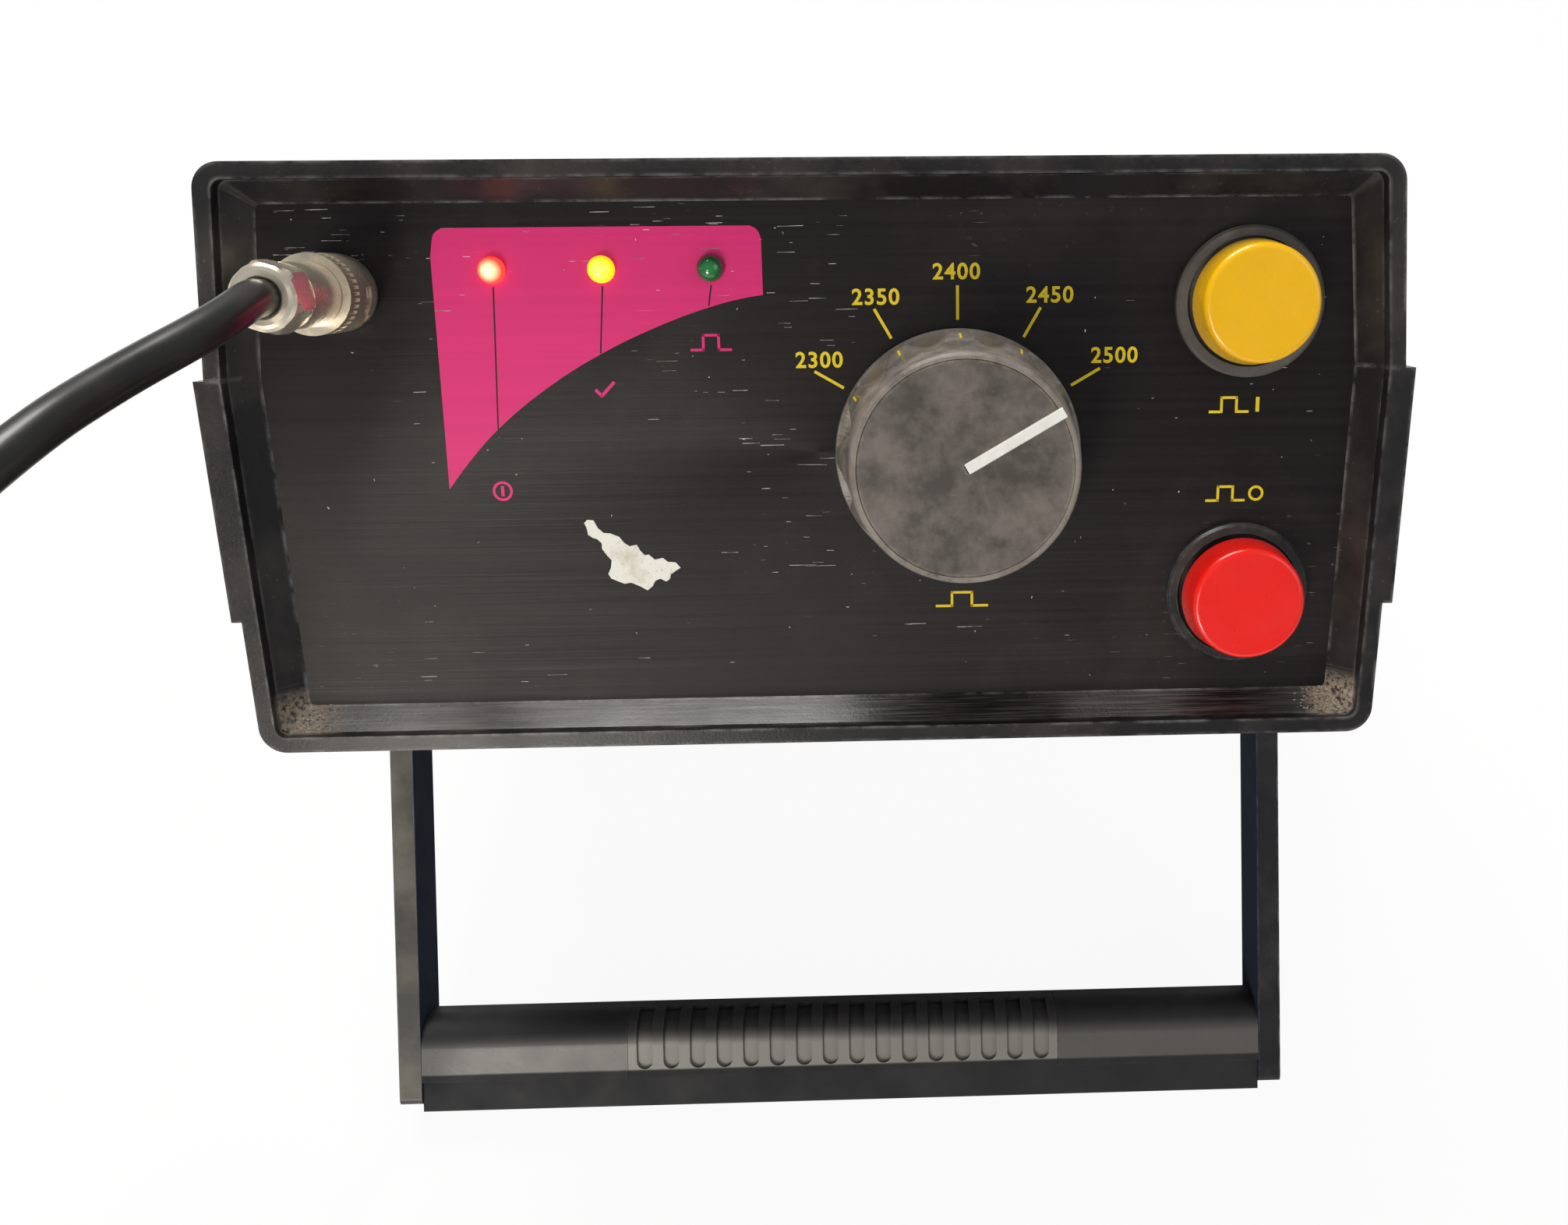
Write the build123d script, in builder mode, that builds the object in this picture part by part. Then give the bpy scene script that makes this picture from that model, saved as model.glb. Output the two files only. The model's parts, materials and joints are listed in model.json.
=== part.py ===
"""Portable electroporator: a two-shell instrument case with a swinging carry handle.

Every sub-part is drawn with the case level: +X to the operator's right, +Y into the case,
+Z up, the front rim on Y = 0 and the underside on Z = 0. The finished pieces are then
tilted back as one, so that the instrument stands on its lowered handle and its rear feet.
"""
from math import asin, atan2, cos, degrees, hypot, pi, radians, sin, tan
import os

from build123d import *

# ---------------------------------------------------------------- driving dimensions (mm)
# case
case_depth = 240.0
case_height = 109.0
parting_height = 71.0
half_width_bottom = 107.8
half_width_parting = 109.8
half_width_top = 107.2
case_corner_radius = 5.0
case_wall = 3.0
rim_land = 3.0
window_inset = 7.0
panel_recess = 8.0
panel_thickness = 2.0
panel_overlap = 3.2
retaining_rib = 2.0
pad_bottom = 26.0
pad_proud = 1.9

# shell screws and pillars
pillar_x = 97.0
pillar_inset_y = 46.0
pillar_radius = 4.2
screw_hole_radius = 1.8
screw_head_radius = 3.3
screw_head_recess = 9.0
screw_core_radius = 1.4
screw_length = 72.0
screw_head_height = 2.4
screw_bore_spare = 2.0

# rubber feet
foot_radius = 9.0
foot_height = 5.0
foot_edge_radius = 1.0
foot_x = 84.0
foot_front_inset = 26.0
foot_rear_inset = 12.0
foot_recess_radius = 3.5
foot_recess_depth = 3.0

# handle
pivot_y = 120.0
pivot_z = 48.0
handle_lean = 12.0
arm_thickness = 6.0
arm_depth = 16.0
arm_length = 180.0
arm_case_gap = 0.3
pivot_boss_radius = 18.0
pivot_boss_reach = 111.7
hub_radius = 17.0
hub_thickness = 9.0
stud_radius = 6.0
stud_head_radius = 8.5
stud_head_thickness = 2.0
stud_tail = 7.0
stud_nut_radius = 9.5
stud_nut_thickness = 4.0
stud_nut_gap = 0.6
stud_socket_radius = 4.0
stud_socket_depth = 3.0
hub_edge_radius = 1.2
cap_radius = 12.0
cap_thickness = 1.6
grip_height = 24.6
grip_depth = 16.0
grip_round_radius = 7.5
grip_flange_height = 8.0
grip_flange_setback = 0.8
grip_edge_radius = 2.0
grip_overhang = 1.8
insert_length = 115.0
insert_wrap_depth = 1.6
slot_count = 16
slot_pitch = 7.08
slot_width = 4.2
slot_depth = 1.1
slot_reach = 14.5
grip_screw_radius = 2.0
grip_screw_head_radius = 3.0
grip_screw_head_height = 2.4
grip_screw_length = 16.0
grip_screw_spacing = 7.0
grip_screw_drop = 12.5

# front controls, across from the case's centre line and up from its underside or, as drops,
# down from its top
dial_x = 27.0
dial_z = 55.3
button_x = 81.9
start_drop = 26.0
stop_z = 26.9
led_first_x = -58.7
led_pitch = 20.0
led_drop = 19.0
socket_x = -86.7
socket_drop = 22.7

# selector knob
knob_height = 23.6
knob_face_radius = 20.3
knob_skirt_radius = 23.4
knob_skirt_land = 1.0
knob_edge_radius = 0.5
flute_tilt = 3.5
grub_radius = 1.5
grub_length = 6.0
knob_panel_gap = 0.8
knob_cap_radius = 19.2
knob_cap_thickness = 1.2
flute_count = 12
flute_radius = 14.0
flute_depth = 1.4
knob_pocket_radius = 11.0
knob_pocket_depth = 6.0
knob_hub_depth = 15.0
pointer_width = 1.5
pointer_turn = 60.0
pointer_thickness = 0.7
pointer_margin = 0.3
shaft_radius = 3.0
bush_radius = 5.0
bush_nut_radius = 7.6
bush_nut_thickness = 2.4
selector_radius = 14.0
selector_depth = 18.0
shaft_tail = 6.0
bush_reach = 5.0
selector_lug_count = 8
selector_lug_length = 5.0
selector_lug_width = 1.6
selector_lug_thickness = 0.6

# push buttons
bezel_radius = 14.0
bezel_height = 2.0
bezel_well_radius = 12.0
bezel_well_floor = 0.5
barrel_radius = 11.0
barrel_length = 20.0
plunger_radius = 7.5
cap_base_radius = 11.5
cap_face_radius = 10.7
cap_face_height = 10.7
cap_edge_radius = 1.2
button_travel = 3.0
button_nut_radius = 14.0
button_nut_thickness = 4.0
plunger_depth = 14.0
nut_notch_count = 6
nut_notch_depth = 2.0
nut_notch_width = 3.0
terminal_width = 2.8
terminal_thickness = 0.6
terminal_length = 6.0
contact_width = 19.0
contact_depth = 13.0

# indicator lamps
led_radius = 2.5
led_dome_height = 2.9
led_flange_radius = 2.95
led_flange_thickness = 1.0
led_setback = 1.2
led_tip_flat = 0.1
led_lead_pitch = 2.54
led_lead_width = 0.5
display_gap = 10.0
display_end_margin = 3.0
display_height = 22.0
display_drop = 4.0
display_post_margin = 7.0
display_post_radius = 2.6
display_screw_radius = 1.2
board_thickness = 1.6

# high voltage connector
jack_flange_radius = 6.8
jack_flange_thickness = 1.2
jack_barrel_radius = 4.8
jack_bore_radius = 4.1
jack_reach = 11.0
jack_tail_radius = 4.7
jack_tail_length = 12.0
jack_nut_across = 14.0
jack_nut_thickness = 2.6
lug_radius = 1.0
lug_tip_radius = 6.5
lug_height = 5.2
ring_radius = 7.1
ring_bore_radius = 5.1
ring_length = 13.0
ring_turn = 45.0
plug_nose_radius = 4.0
plug_sleeve_radius = 5.6
plug_sleeve_length = 12.0
plug_nut_across = 10.8
plug_nut_length = 8.0
cable_radius = 3.1
cable_entry = 6.5
ring_gap = 0.2
insulator_base = 1.5
insulator_radius = 2.2
socket_pin_radius = 0.8
plug_shoulder_thickness = 0.8
plug_neck_radius = 4.6
plug_nose_bore = 2.6
plug_nose_gap = 2.4
knurl_margin = 1.2
knurl_length = 3.2
knurl_radius = 0.32
knurl_count = 40

# inside the case
post_height = 8.0
main_board_width = 170.0
main_board_front = 62.0
main_board_rear_room = 28.0
board_hole_inset = 6.0
post_radius = 3.4
board_screw_head_radius = 2.8
board_screw_head_height = 2.0
board_screw_length = 7.0
core_x = 46.0
core_y = 120.0
core_width = 56.0
core_height = 48.0
core_thickness = 18.0
core_leg = 8.0
core_middle_leg = 16.0
capacitor_x = -48.0
capacitor_y = 150.0
capacitor_radius = 17.5
capacitor_height = 52.0
capacitor_edge_radius = 1.5
relay_x = -50.0
relay_y = 95.0
relay_width = 28.0
relay_length = 13.0
relay_height = 25.0
resistor_x = -16.0
resistor_y = 84.0
resistor_count = 3
resistor_pitch = 12.0
resistor_radius = 4.5
resistor_length = 52.0
heatsink_x = -2.0
heatsink_y = 152.0
heatsink_width = 30.0
heatsink_length = 44.0
heatsink_height = 24.0
heatsink_base = 3.0
heatsink_fin = 1.6
heatsink_fins = 6

# rear panel fittings
inlet_x = -62.0
inlet_z = 40.0
inlet_width = 27.6
inlet_height = 20.0
inlet_depth = 18.0
inlet_lip = 2.2
inlet_wall = 1.6
inlet_flange_thickness = 2.0
inlet_socket_depth = 16.0
blade_pitch = 7.0
blade_rise = 4.0
blade_thickness = 2.0
blade_width = 4.0
blade_setback = 3.0
rocker_x = -20.0
rocker_width = 13.0
rocker_length = 19.2
rocker_throw = 10.0
rocker_lip = 1.6
rocker_wall = 1.6
rocker_end_gap = 0.9
rocker_body_depth = 15.0
rocker_cavity_depth = 9.0
rocker_pivot_inset = 4.0
rocker_proud = 1.2
trunnion_radius = 1.2
trunnion_length = 0.9
fuse_x = 16.0
fuse_radius = 6.0
fuse_lip = 1.8
fuse_length = 26.0
fuse_cap_height = 6.0
fuse_slot_width = 1.2
fuse_slot_depth = 1.4
vent_slot_count = 9
vent_slot_pitch = 7.0
vent_slot_length = 34.0
vent_slot_width = 2.6
vent_x = 56.0
vent_z = 66.0

# cable lay on the bench and its end plug
cable_lead = 3.4
coil_radius = 36.0
coil_turns = 2.5
coil_x = -170.0
coil_y = -222.0
end_plug_radius = 7.0
end_plug_neck_radius = 4.6
end_plug_length = 34.0
end_plug_taper_length = 12.0
end_plug_edge_radius = 1.0
end_sleeve_radius = 4.0
end_sleeve_bore = 3.2
end_sleeve_length = 14.0
end_contact_radius = 1.0
end_contact_length = 12.0

# clearances
seat = 0.1
running = 0.05
free_gap = 0.3

# ---------------------------------------------------------------- derived places
panel_face = panel_recess
panel_back = panel_recess + panel_thickness
cap_under_height = bezel_well_floor + button_travel + free_gap
arm_inner = pivot_boss_reach + arm_case_gap
arm_outer = arm_inner + arm_thickness
cavity_start = panel_back + seat + retaining_rib
start_z = case_height - start_drop
led_z = case_height - led_drop
socket_z = case_height - socket_drop
main_board_length = case_depth - main_board_front - main_board_rear_room
lean = radians(handle_lean)
pieces = {}
cord_pieces = {}


def place_plane(x, y, z):
    """Plane facing the operator (normal -Y) with its origin at x, y, z."""
    return Plane(origin=(x, y, z), x_dir=(1, 0, 0), z_dir=(0, -1, 0))


def side_plane(x, y, z, side):
    """Plane facing outwards from the left (-1) or right (+1) side of the case."""
    return Plane(origin=(x, y, z), x_dir=(0, 1, 0), z_dir=(side, 0, 0))


def handle_plane(x):
    """Plane across X whose own x axis runs down the handle's arms from the pivot."""
    return Plane(origin=(x, pivot_y, pivot_z), x_dir=(0, -sin(lean), -cos(lean)), z_dir=(1, 0, 0))


def keep(name, builder, on_cord=False):
    """Label a finished piece and store it under its node name."""
    builder.part.label = name
    pieces[name] = builder.part
    if on_cord:
        cord_pieces[name] = builder.part


def half_width_at(height):
    """Half the outer width of the case at a height, without the side pads."""
    if height <= parting_height:
        share = height / parting_height
        return half_width_bottom + (half_width_parting - half_width_bottom) * share
    share = (height - parting_height) / (case_height - parting_height)
    return half_width_parting + (half_width_top - half_width_parting) * share


def case_outline(inset):
    """The case's cross-section, set in from its outside by a given amount."""
    corner = max(case_corner_radius - inset, 1.0)
    right = [
        (half_width_bottom - inset, inset),
        (half_width_parting - inset, parting_height),
        (half_width_top - inset, case_height - inset),
    ]
    left = [(-x, z) for x, z in reversed(right)]
    with BuildSketch() as outline:
        with BuildLine():
            Polyline(right + left, close=True)
        make_face()
        ends = outline.vertices().sort_by(Axis.Y)
        fillet(ends[:2] + ends[-2:], corner)
    return outline.sketch


# ---------------------------------------------------------------- case shells
def end_plane(end, depth):
    """Plane a given depth inside the front (0) or rear (1) mouth of the case."""
    if end == 0:
        return Plane(origin=(0, depth, 0), x_dir=(-1, 0, 0), z_dir=(0, 1, 0))
    return Plane(origin=(0, case_depth - depth, 0), x_dir=(1, 0, 0), z_dir=(0, -1, 0))


def mouth_cutter(end):
    """Space at one end of the case: rim land, sloped facet, panel groove and rib window."""
    groove_inset = window_inset - panel_overlap - seat
    with BuildPart() as cutter:
        with BuildSketch(end_plane(end, 0)):
            add(case_outline(case_wall))
        extrude(amount=rim_land)
        with BuildSketch(end_plane(end, rim_land)):
            add(case_outline(case_wall))
        with BuildSketch(end_plane(end, panel_recess)):
            add(case_outline(window_inset))
        loft()
        with BuildSketch(end_plane(end, panel_recess)):
            add(case_outline(groove_inset))
        extrude(amount=panel_thickness + seat)
        with BuildSketch(end_plane(end, panel_back + seat)):
            add(case_outline(window_inset))
        extrude(amount=retaining_rib)
    return cutter.part


with BuildPart() as case_form:
    with BuildSketch(end_plane(0, 0)):
        add(case_outline(0))
    extrude(amount=case_depth)
    add(mouth_cutter(0), mode=Mode.SUBTRACT)
    add(mouth_cutter(1), mode=Mode.SUBTRACT)
    with BuildSketch(end_plane(0, cavity_start)):
        add(case_outline(case_wall))
    extrude(amount=case_depth - 2 * cavity_start, mode=Mode.SUBTRACT)

parting_plane = Plane.XY.offset(parting_height)
pillar_places = [
    (x, y) for x in (-pillar_x, pillar_x) for y in (pillar_inset_y, case_depth - pillar_inset_y)
]
post_x = main_board_width / 2 - board_hole_inset
post_rows = (main_board_front + board_hole_inset,
             main_board_front + main_board_length - board_hole_inset)
post_places = [(x, y) for x in (-post_x, post_x) for y in post_rows]
board_underside = case_wall + post_height
foot_places = [
    (x, y) for x in (-foot_x, foot_x) for y in (foot_front_inset, case_depth - foot_rear_inset)
]

with BuildPart() as lower_shell:
    add(case_form.part)
    split(bisect_by=parting_plane, keep=Keep.BOTTOM)
    for side in (-1, 1):
        root = [(side * (half_width_at(z) - case_wall / 2), z) for z in (pad_bottom, parting_height)]
        face = [(side * (half_width_at(z) + pad_proud), z) for z in (parting_height, pad_bottom)]
        with BuildSketch(Plane.XZ):
            with BuildLine():
                Polyline(root + face, close=True)
            make_face()
        extrude(amount=-case_depth)
        boss_root = side * (half_width_at(pivot_z) - case_wall / 2)
        with BuildSketch(side_plane(boss_root, pivot_y, pivot_z, side)):
            Circle(pivot_boss_radius)
        extrude(amount=pivot_boss_reach - abs(boss_root))
        with BuildSketch(side_plane(side * pivot_boss_reach, pivot_y, pivot_z, side)):
            Circle(stud_radius + running)
        extrude(amount=-2 * (pad_proud + case_wall), mode=Mode.SUBTRACT)
    with BuildSketch(Plane.XY.offset(case_wall / 2)):
        with Locations(*pillar_places):
            Circle(pillar_radius)
    extrude(amount=parting_height - case_wall / 2)
    with BuildSketch(Plane.XY):
        with Locations(*pillar_places):
            Circle(screw_hole_radius)
    extrude(amount=parting_height, mode=Mode.SUBTRACT)
    with BuildSketch(Plane.XY):
        with Locations(*pillar_places):
            Circle(screw_head_radius + seat)
    extrude(amount=screw_head_recess, mode=Mode.SUBTRACT)
    with BuildSketch(Plane.XY.offset(case_wall / 2)):
        with Locations(*post_places):
            Circle(post_radius)
    extrude(amount=board_underside - case_wall / 2)
    with BuildSketch(Plane.XY.offset(board_underside)):
        with Locations(*post_places):
            Circle(screw_core_radius)
    extrude(amount=-post_height, mode=Mode.SUBTRACT)
keep("lower_shell", lower_shell)

boss_top = case_height - case_wall / 2
screw_tip = screw_head_recess - screw_head_height + screw_length
with BuildPart() as upper_shell:
    add(case_form.part)
    split(bisect_by=parting_plane, keep=Keep.TOP)
    with BuildSketch(parting_plane):
        with Locations(*pillar_places):
            Circle(pillar_radius)
    extrude(amount=boss_top - parting_height)
    with BuildSketch(parting_plane):
        with Locations(*pillar_places):
            Circle(screw_hole_radius)
    extrude(amount=screw_tip + screw_bore_spare - parting_height, mode=Mode.SUBTRACT)
keep("upper_shell", upper_shell)

with BuildPart() as case_screws:
    with BuildSketch(Plane.XY.offset(screw_head_recess - screw_head_height)):
        with Locations(*pillar_places):
            Circle(screw_head_radius)
    extrude(amount=screw_head_height)
    with BuildSketch(Plane.XY.offset(screw_head_recess)):
        with Locations(*pillar_places):
            Circle(screw_hole_radius - running)
    extrude(amount=screw_length - screw_head_height)
    with BuildSketch(Plane.XY.offset(screw_head_recess - screw_head_height)):
        with Locations(*pillar_places):
            Rectangle(screw_head_radius, screw_head_radius / 4)
            Rectangle(screw_head_radius / 4, screw_head_radius)
    extrude(amount=screw_head_height / 2, mode=Mode.SUBTRACT)
keep("case_screws", case_screws)

with BuildPart() as feet:
    with BuildSketch(Plane.XY):
        with Locations(*foot_places):
            Circle(foot_radius)
    extrude(amount=-foot_height)
    fillet(feet.faces().sort_by(Axis.Z)[:4].edges(), foot_edge_radius)
    with BuildSketch(Plane.XY.offset(-foot_height)):
        with Locations(*foot_places):
            Circle(foot_recess_radius)
    extrude(amount=foot_recess_depth, mode=Mode.SUBTRACT)
keep("feet", feet)

# ---------------------------------------------------------------- front and rear panels
button_places = {"start": (button_x, start_z), "stop": (button_x, stop_z)}
led_names = ("led_red", "led_yellow", "led_green")
led_places = [(led_first_x + i * led_pitch, led_z) for i in range(len(led_names))]

with BuildPart() as front_panel:
    with BuildSketch(place_plane(0, panel_face, 0)):
        add(case_outline(window_inset - panel_overlap))
        with Locations((dial_x, dial_z)):
            Circle(bush_radius + seat, mode=Mode.SUBTRACT)
        with Locations(*button_places.values()):
            Circle(barrel_radius + seat, mode=Mode.SUBTRACT)
        with Locations(*led_places):
            Circle(led_radius + running, mode=Mode.SUBTRACT)
        with Locations((socket_x, socket_z)):
            Circle(jack_tail_radius + seat, mode=Mode.SUBTRACT)
    extrude(amount=-panel_thickness)
keep("front_panel", front_panel)

rear_face = case_depth - panel_recess
rocker_z = inlet_z
fuse_z = inlet_z

with BuildPart() as rear_panel:
    with BuildSketch(place_plane(0, rear_face, 0)):
        add(case_outline(window_inset - panel_overlap))
        with Locations((inlet_x, inlet_z)):
            Rectangle(inlet_width + 2 * seat, inlet_height + 2 * seat, mode=Mode.SUBTRACT)
        with Locations((rocker_x, rocker_z)):
            Rectangle(rocker_width + 2 * seat, rocker_length + 2 * seat, mode=Mode.SUBTRACT)
        with Locations((fuse_x, fuse_z)):
            Circle(fuse_radius + seat, mode=Mode.SUBTRACT)
        with Locations((vent_x, vent_z)):
            with GridLocations(vent_slot_pitch, 0, vent_slot_count, 1):
                SlotOverall(vent_slot_length, vent_slot_width, rotation=90, mode=Mode.SUBTRACT)
    extrude(amount=panel_thickness)
keep("rear_panel", rear_panel)

# ---------------------------------------------------------------- carry handle
stud_head_face = arm_inner + hub_thickness - cap_thickness - free_gap
stud_head_seat = stud_head_face - stud_head_thickness
grip_end = arm_length + grip_overhang
grip_top = grip_end - grip_height
grip_screw_line = grip_top + grip_screw_drop


def grip_outline(inset):
    """The grip's section: rounded front and top, with a set-back flange along its foot."""
    front = -grip_depth / 2 + inset
    back = grip_depth / 2 - inset
    top = grip_top + inset
    flange_top = grip_end - grip_flange_height
    with BuildSketch() as outline:
        with BuildLine():
            Polyline(
                (grip_end, back),
                (top, back),
                (top, front),
                (flange_top, front),
                (flange_top, front + grip_flange_setback),
                (grip_end, front + grip_flange_setback),
                close=True,
            )
        make_face()
        corners = outline.vertices().sort_by(Axis.X)[:2].sort_by(Axis.Y)
        fillet(corners[0], grip_round_radius - inset)
        rear_top = outline.vertices().sort_by(Axis.Y)[-2:].sort_by(Axis.X)[0]
        fillet(rear_top, grip_round_radius / 2 - inset)
    return outline.sketch


with BuildPart() as handle_arm_right:
    with BuildSketch(handle_plane(arm_inner)):
        with Locations((arm_length / 2, 0)):
            Rectangle(arm_length, arm_depth)
        fillet(vertices().sort_by(Axis.X)[-2:], grip_edge_radius)
        Circle(hub_radius)
    extrude(amount=arm_thickness)
    with BuildSketch(handle_plane(arm_outer)):
        Circle(hub_radius)
    extrude(amount=hub_thickness - arm_thickness)
    fillet(handle_arm_right.faces().sort_by(Axis.X)[-1].edges(), hub_edge_radius)
    with BuildSketch(handle_plane(arm_inner)):
        Circle(stud_radius + running)
    extrude(amount=hub_thickness, mode=Mode.SUBTRACT)
    with BuildSketch(handle_plane(stud_head_seat - free_gap)):
        Circle(stud_head_radius + free_gap)
    extrude(amount=hub_thickness, mode=Mode.SUBTRACT)
    with BuildSketch(handle_plane(arm_inner + hub_thickness - cap_thickness)):
        Circle(cap_radius + seat)
    extrude(amount=cap_thickness, mode=Mode.SUBTRACT)
    with BuildSketch(handle_plane(arm_inner)):
        with Locations((grip_screw_line, 0)):
            with GridLocations(0, grip_screw_spacing, 1, 2):
                Circle(grip_screw_radius + seat)
    extrude(amount=arm_thickness, mode=Mode.SUBTRACT)
    with BuildSketch(handle_plane(arm_outer)):
        with Locations((grip_screw_line, 0)):
            with GridLocations(0, grip_screw_spacing, 1, 2):
                Circle(grip_screw_head_radius + seat)
    extrude(amount=-grip_screw_head_height, mode=Mode.SUBTRACT)
keep("handle_arm_right", handle_arm_right)

with BuildPart() as handle_arm_left:
    mirror(handle_arm_right.part, about=Plane.YZ)
keep("handle_arm_left", handle_arm_left)

grip_full = grip_outline(0)
grip_core = grip_outline(insert_wrap_depth)
grip_lining = grip_outline(insert_wrap_depth - seat)
grip_groove = grip_outline(slot_depth)
insert_foot = grip_end - grip_flange_height


def insert_zone(length):
    """Block round the grip above its flange, as long as the ribbed insert."""
    with BuildPart() as zone:
        with BuildSketch(handle_plane(-length / 2)):
            with Locations((insert_foot, 0)):
                Rectangle(2 * grip_height, 2 * grip_depth, align=(Align.MAX, Align.CENTER))
        extrude(amount=length)
    return zone.part


def insert_shell(lining, length):
    """The grip's skin above its flange, between a lining section and its outside."""
    with BuildPart() as shell:
        with BuildSketch(handle_plane(-length / 2)):
            add(grip_full)
            add(lining, mode=Mode.SUBTRACT)
        extrude(amount=length)
        add(insert_zone(length), mode=Mode.INTERSECT)
    return shell.part


with BuildPart() as grip_bar:
    with BuildSketch(handle_plane(-arm_inner)):
        add(grip_full)
    extrude(amount=2 * arm_inner)
    foot_edges = grip_bar.edges().filter_by(Axis.X).sort_by(Axis.Z)[:2]
    fillet(foot_edges.sort_by(Axis.Y)[-1], grip_edge_radius)
    add(insert_shell(grip_core, insert_length + 2 * seat), mode=Mode.SUBTRACT)
    for side in (-1, 1):
        with BuildSketch(handle_plane(side * arm_inner)):
            with Locations((grip_screw_line, 0)):
                with GridLocations(0, grip_screw_spacing, 1, 2):
                    Circle(grip_screw_radius + running)
        extrude(amount=-side * grip_screw_length, mode=Mode.SUBTRACT)
keep("grip_bar", grip_bar)

slot_plane = Plane(
    origin=handle_plane(0).from_local_coords((grip_top, 0, 0)),
    x_dir=(1, 0, 0),
    z_dir=(0, -cos(lean), sin(lean)),
)
with BuildPart() as slot_cutters:
    with BuildSketch(slot_plane):
        with GridLocations(slot_pitch, 0, slot_count, 1):
            SlotOverall(2 * slot_reach, slot_width, rotation=90)
    extrude(amount=grip_depth)
    with BuildSketch(handle_plane(-insert_length / 2)):
        add(grip_groove)
    extrude(amount=insert_length, mode=Mode.SUBTRACT)

with BuildPart() as grip_insert:
    add(insert_shell(grip_lining, insert_length))
    add(slot_cutters.part, mode=Mode.SUBTRACT)
keep("grip_insert", grip_insert)

with BuildPart() as grip_screws:
    for side in (-1, 1):
        head_floor = side * (arm_outer - grip_screw_head_height)
        with BuildSketch(handle_plane(head_floor)):
            with Locations((grip_screw_line, 0)):
                with GridLocations(0, grip_screw_spacing, 1, 2):
                    Circle(grip_screw_head_radius)
        extrude(amount=side * (grip_screw_head_height - free_gap))
        with BuildSketch(handle_plane(head_floor)):
            with Locations((grip_screw_line, 0)):
                with GridLocations(0, grip_screw_spacing, 1, 2):
                    Circle(grip_screw_radius)
        extrude(amount=-side * (grip_screw_length - grip_screw_head_height))
keep("grip_screws", grip_screws)

stud_bore_end = half_width_at(pivot_z) - case_wall
with BuildPart() as pivot_studs:
    with BuildSketch(handle_plane(stud_bore_end - stud_tail)):
        Circle(stud_radius)
    extrude(amount=stud_head_seat - stud_bore_end + stud_tail)
    with BuildSketch(handle_plane(stud_head_seat)):
        Circle(stud_head_radius)
    extrude(amount=stud_head_thickness)
    with BuildSketch(handle_plane(stud_head_face)):
        RegularPolygon(stud_socket_radius, 6)
    extrude(amount=-stud_socket_depth, mode=Mode.SUBTRACT)
    mirror(about=Plane.YZ)
keep("pivot_studs", pivot_studs)

with BuildPart() as pivot_nuts:
    with BuildSketch(handle_plane(stud_bore_end - stud_nut_gap)):
        RegularPolygon(stud_nut_radius, 6)
        Circle(stud_radius + running, mode=Mode.SUBTRACT)
    extrude(amount=-stud_nut_thickness)
    mirror(about=Plane.YZ)
keep("pivot_nuts", pivot_nuts)

with BuildPart() as pivot_cap_right:
    with BuildSketch(handle_plane(arm_inner + hub_thickness - cap_thickness)):
        Circle(cap_radius)
    extrude(amount=cap_thickness)
    fillet(pivot_cap_right.faces().sort_by(Axis.X)[-1].edges(), cap_thickness / 2)
keep("pivot_cap_right", pivot_cap_right)

with BuildPart() as pivot_cap_left:
    mirror(pivot_cap_right.part, about=Plane.YZ)
keep("pivot_cap_left", pivot_cap_left)

# ---------------------------------------------------------------- selector knob and switch
knob_back = panel_face - knob_panel_gap
knob_front = panel_face - knob_height


def turn_profile(x, z, points):
    """Solid of revolution about a horizontal axis, from (radius, depth) points."""
    with BuildPart() as turned:
        with BuildSketch(Plane(origin=(x, 0, z), x_dir=(1, 0, 0), z_dir=(0, 0, 1))):
            with BuildLine():
                Polyline(points, close=True)
            make_face()
        revolve(axis=Axis((x, 0, z), (0, 1, 0)))
    return turned.part


with BuildPart() as knob_body:
    add(turn_profile(dial_x, dial_z, [
        (0, knob_back),
        (knob_skirt_radius, knob_back),
        (knob_skirt_radius, knob_back - knob_skirt_land),
        (knob_face_radius, knob_front),
        (0, knob_front),
    ]))
    fillet(knob_body.faces().sort_by(Axis.Y)[0].edges(), knob_edge_radius)
    for flute in range(flute_count):
        turn = radians(90 + 360 * flute / flute_count)
        out_x, out_z = cos(turn), sin(turn)
        reach = knob_skirt_radius - flute_depth + flute_radius
        flute_plane = Plane(
            origin=(dial_x + reach * out_x, knob_back, dial_z + reach * out_z),
            x_dir=(-out_z, 0, out_x),
            z_dir=(-sin(radians(flute_tilt)) * out_x, -cos(radians(flute_tilt)),
                   -sin(radians(flute_tilt)) * out_z),
        )
        with BuildSketch(flute_plane):
            Circle(flute_radius)
        extrude(amount=knob_height, both=True, mode=Mode.SUBTRACT)
    with BuildSketch(place_plane(dial_x, knob_back, dial_z)):
        Circle(knob_pocket_radius)
    extrude(amount=knob_pocket_depth, mode=Mode.SUBTRACT)
    with BuildSketch(place_plane(dial_x, knob_back, dial_z)):
        Circle(shaft_radius + running)
    extrude(amount=knob_hub_depth, mode=Mode.SUBTRACT)
    with BuildSketch(place_plane(dial_x, knob_front, dial_z)):
        Circle(knob_cap_radius + seat)
    extrude(amount=-knob_cap_thickness, mode=Mode.SUBTRACT)
    grub_depth = knob_back - (knob_pocket_depth + knob_hub_depth) / 2
    with BuildSketch(Plane.XY.offset(dial_z)):
        with Locations((dial_x, grub_depth)):
            Circle(grub_radius + running)
    extrude(amount=-knob_skirt_radius, mode=Mode.SUBTRACT)
keep("knob_body", knob_body)

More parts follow.
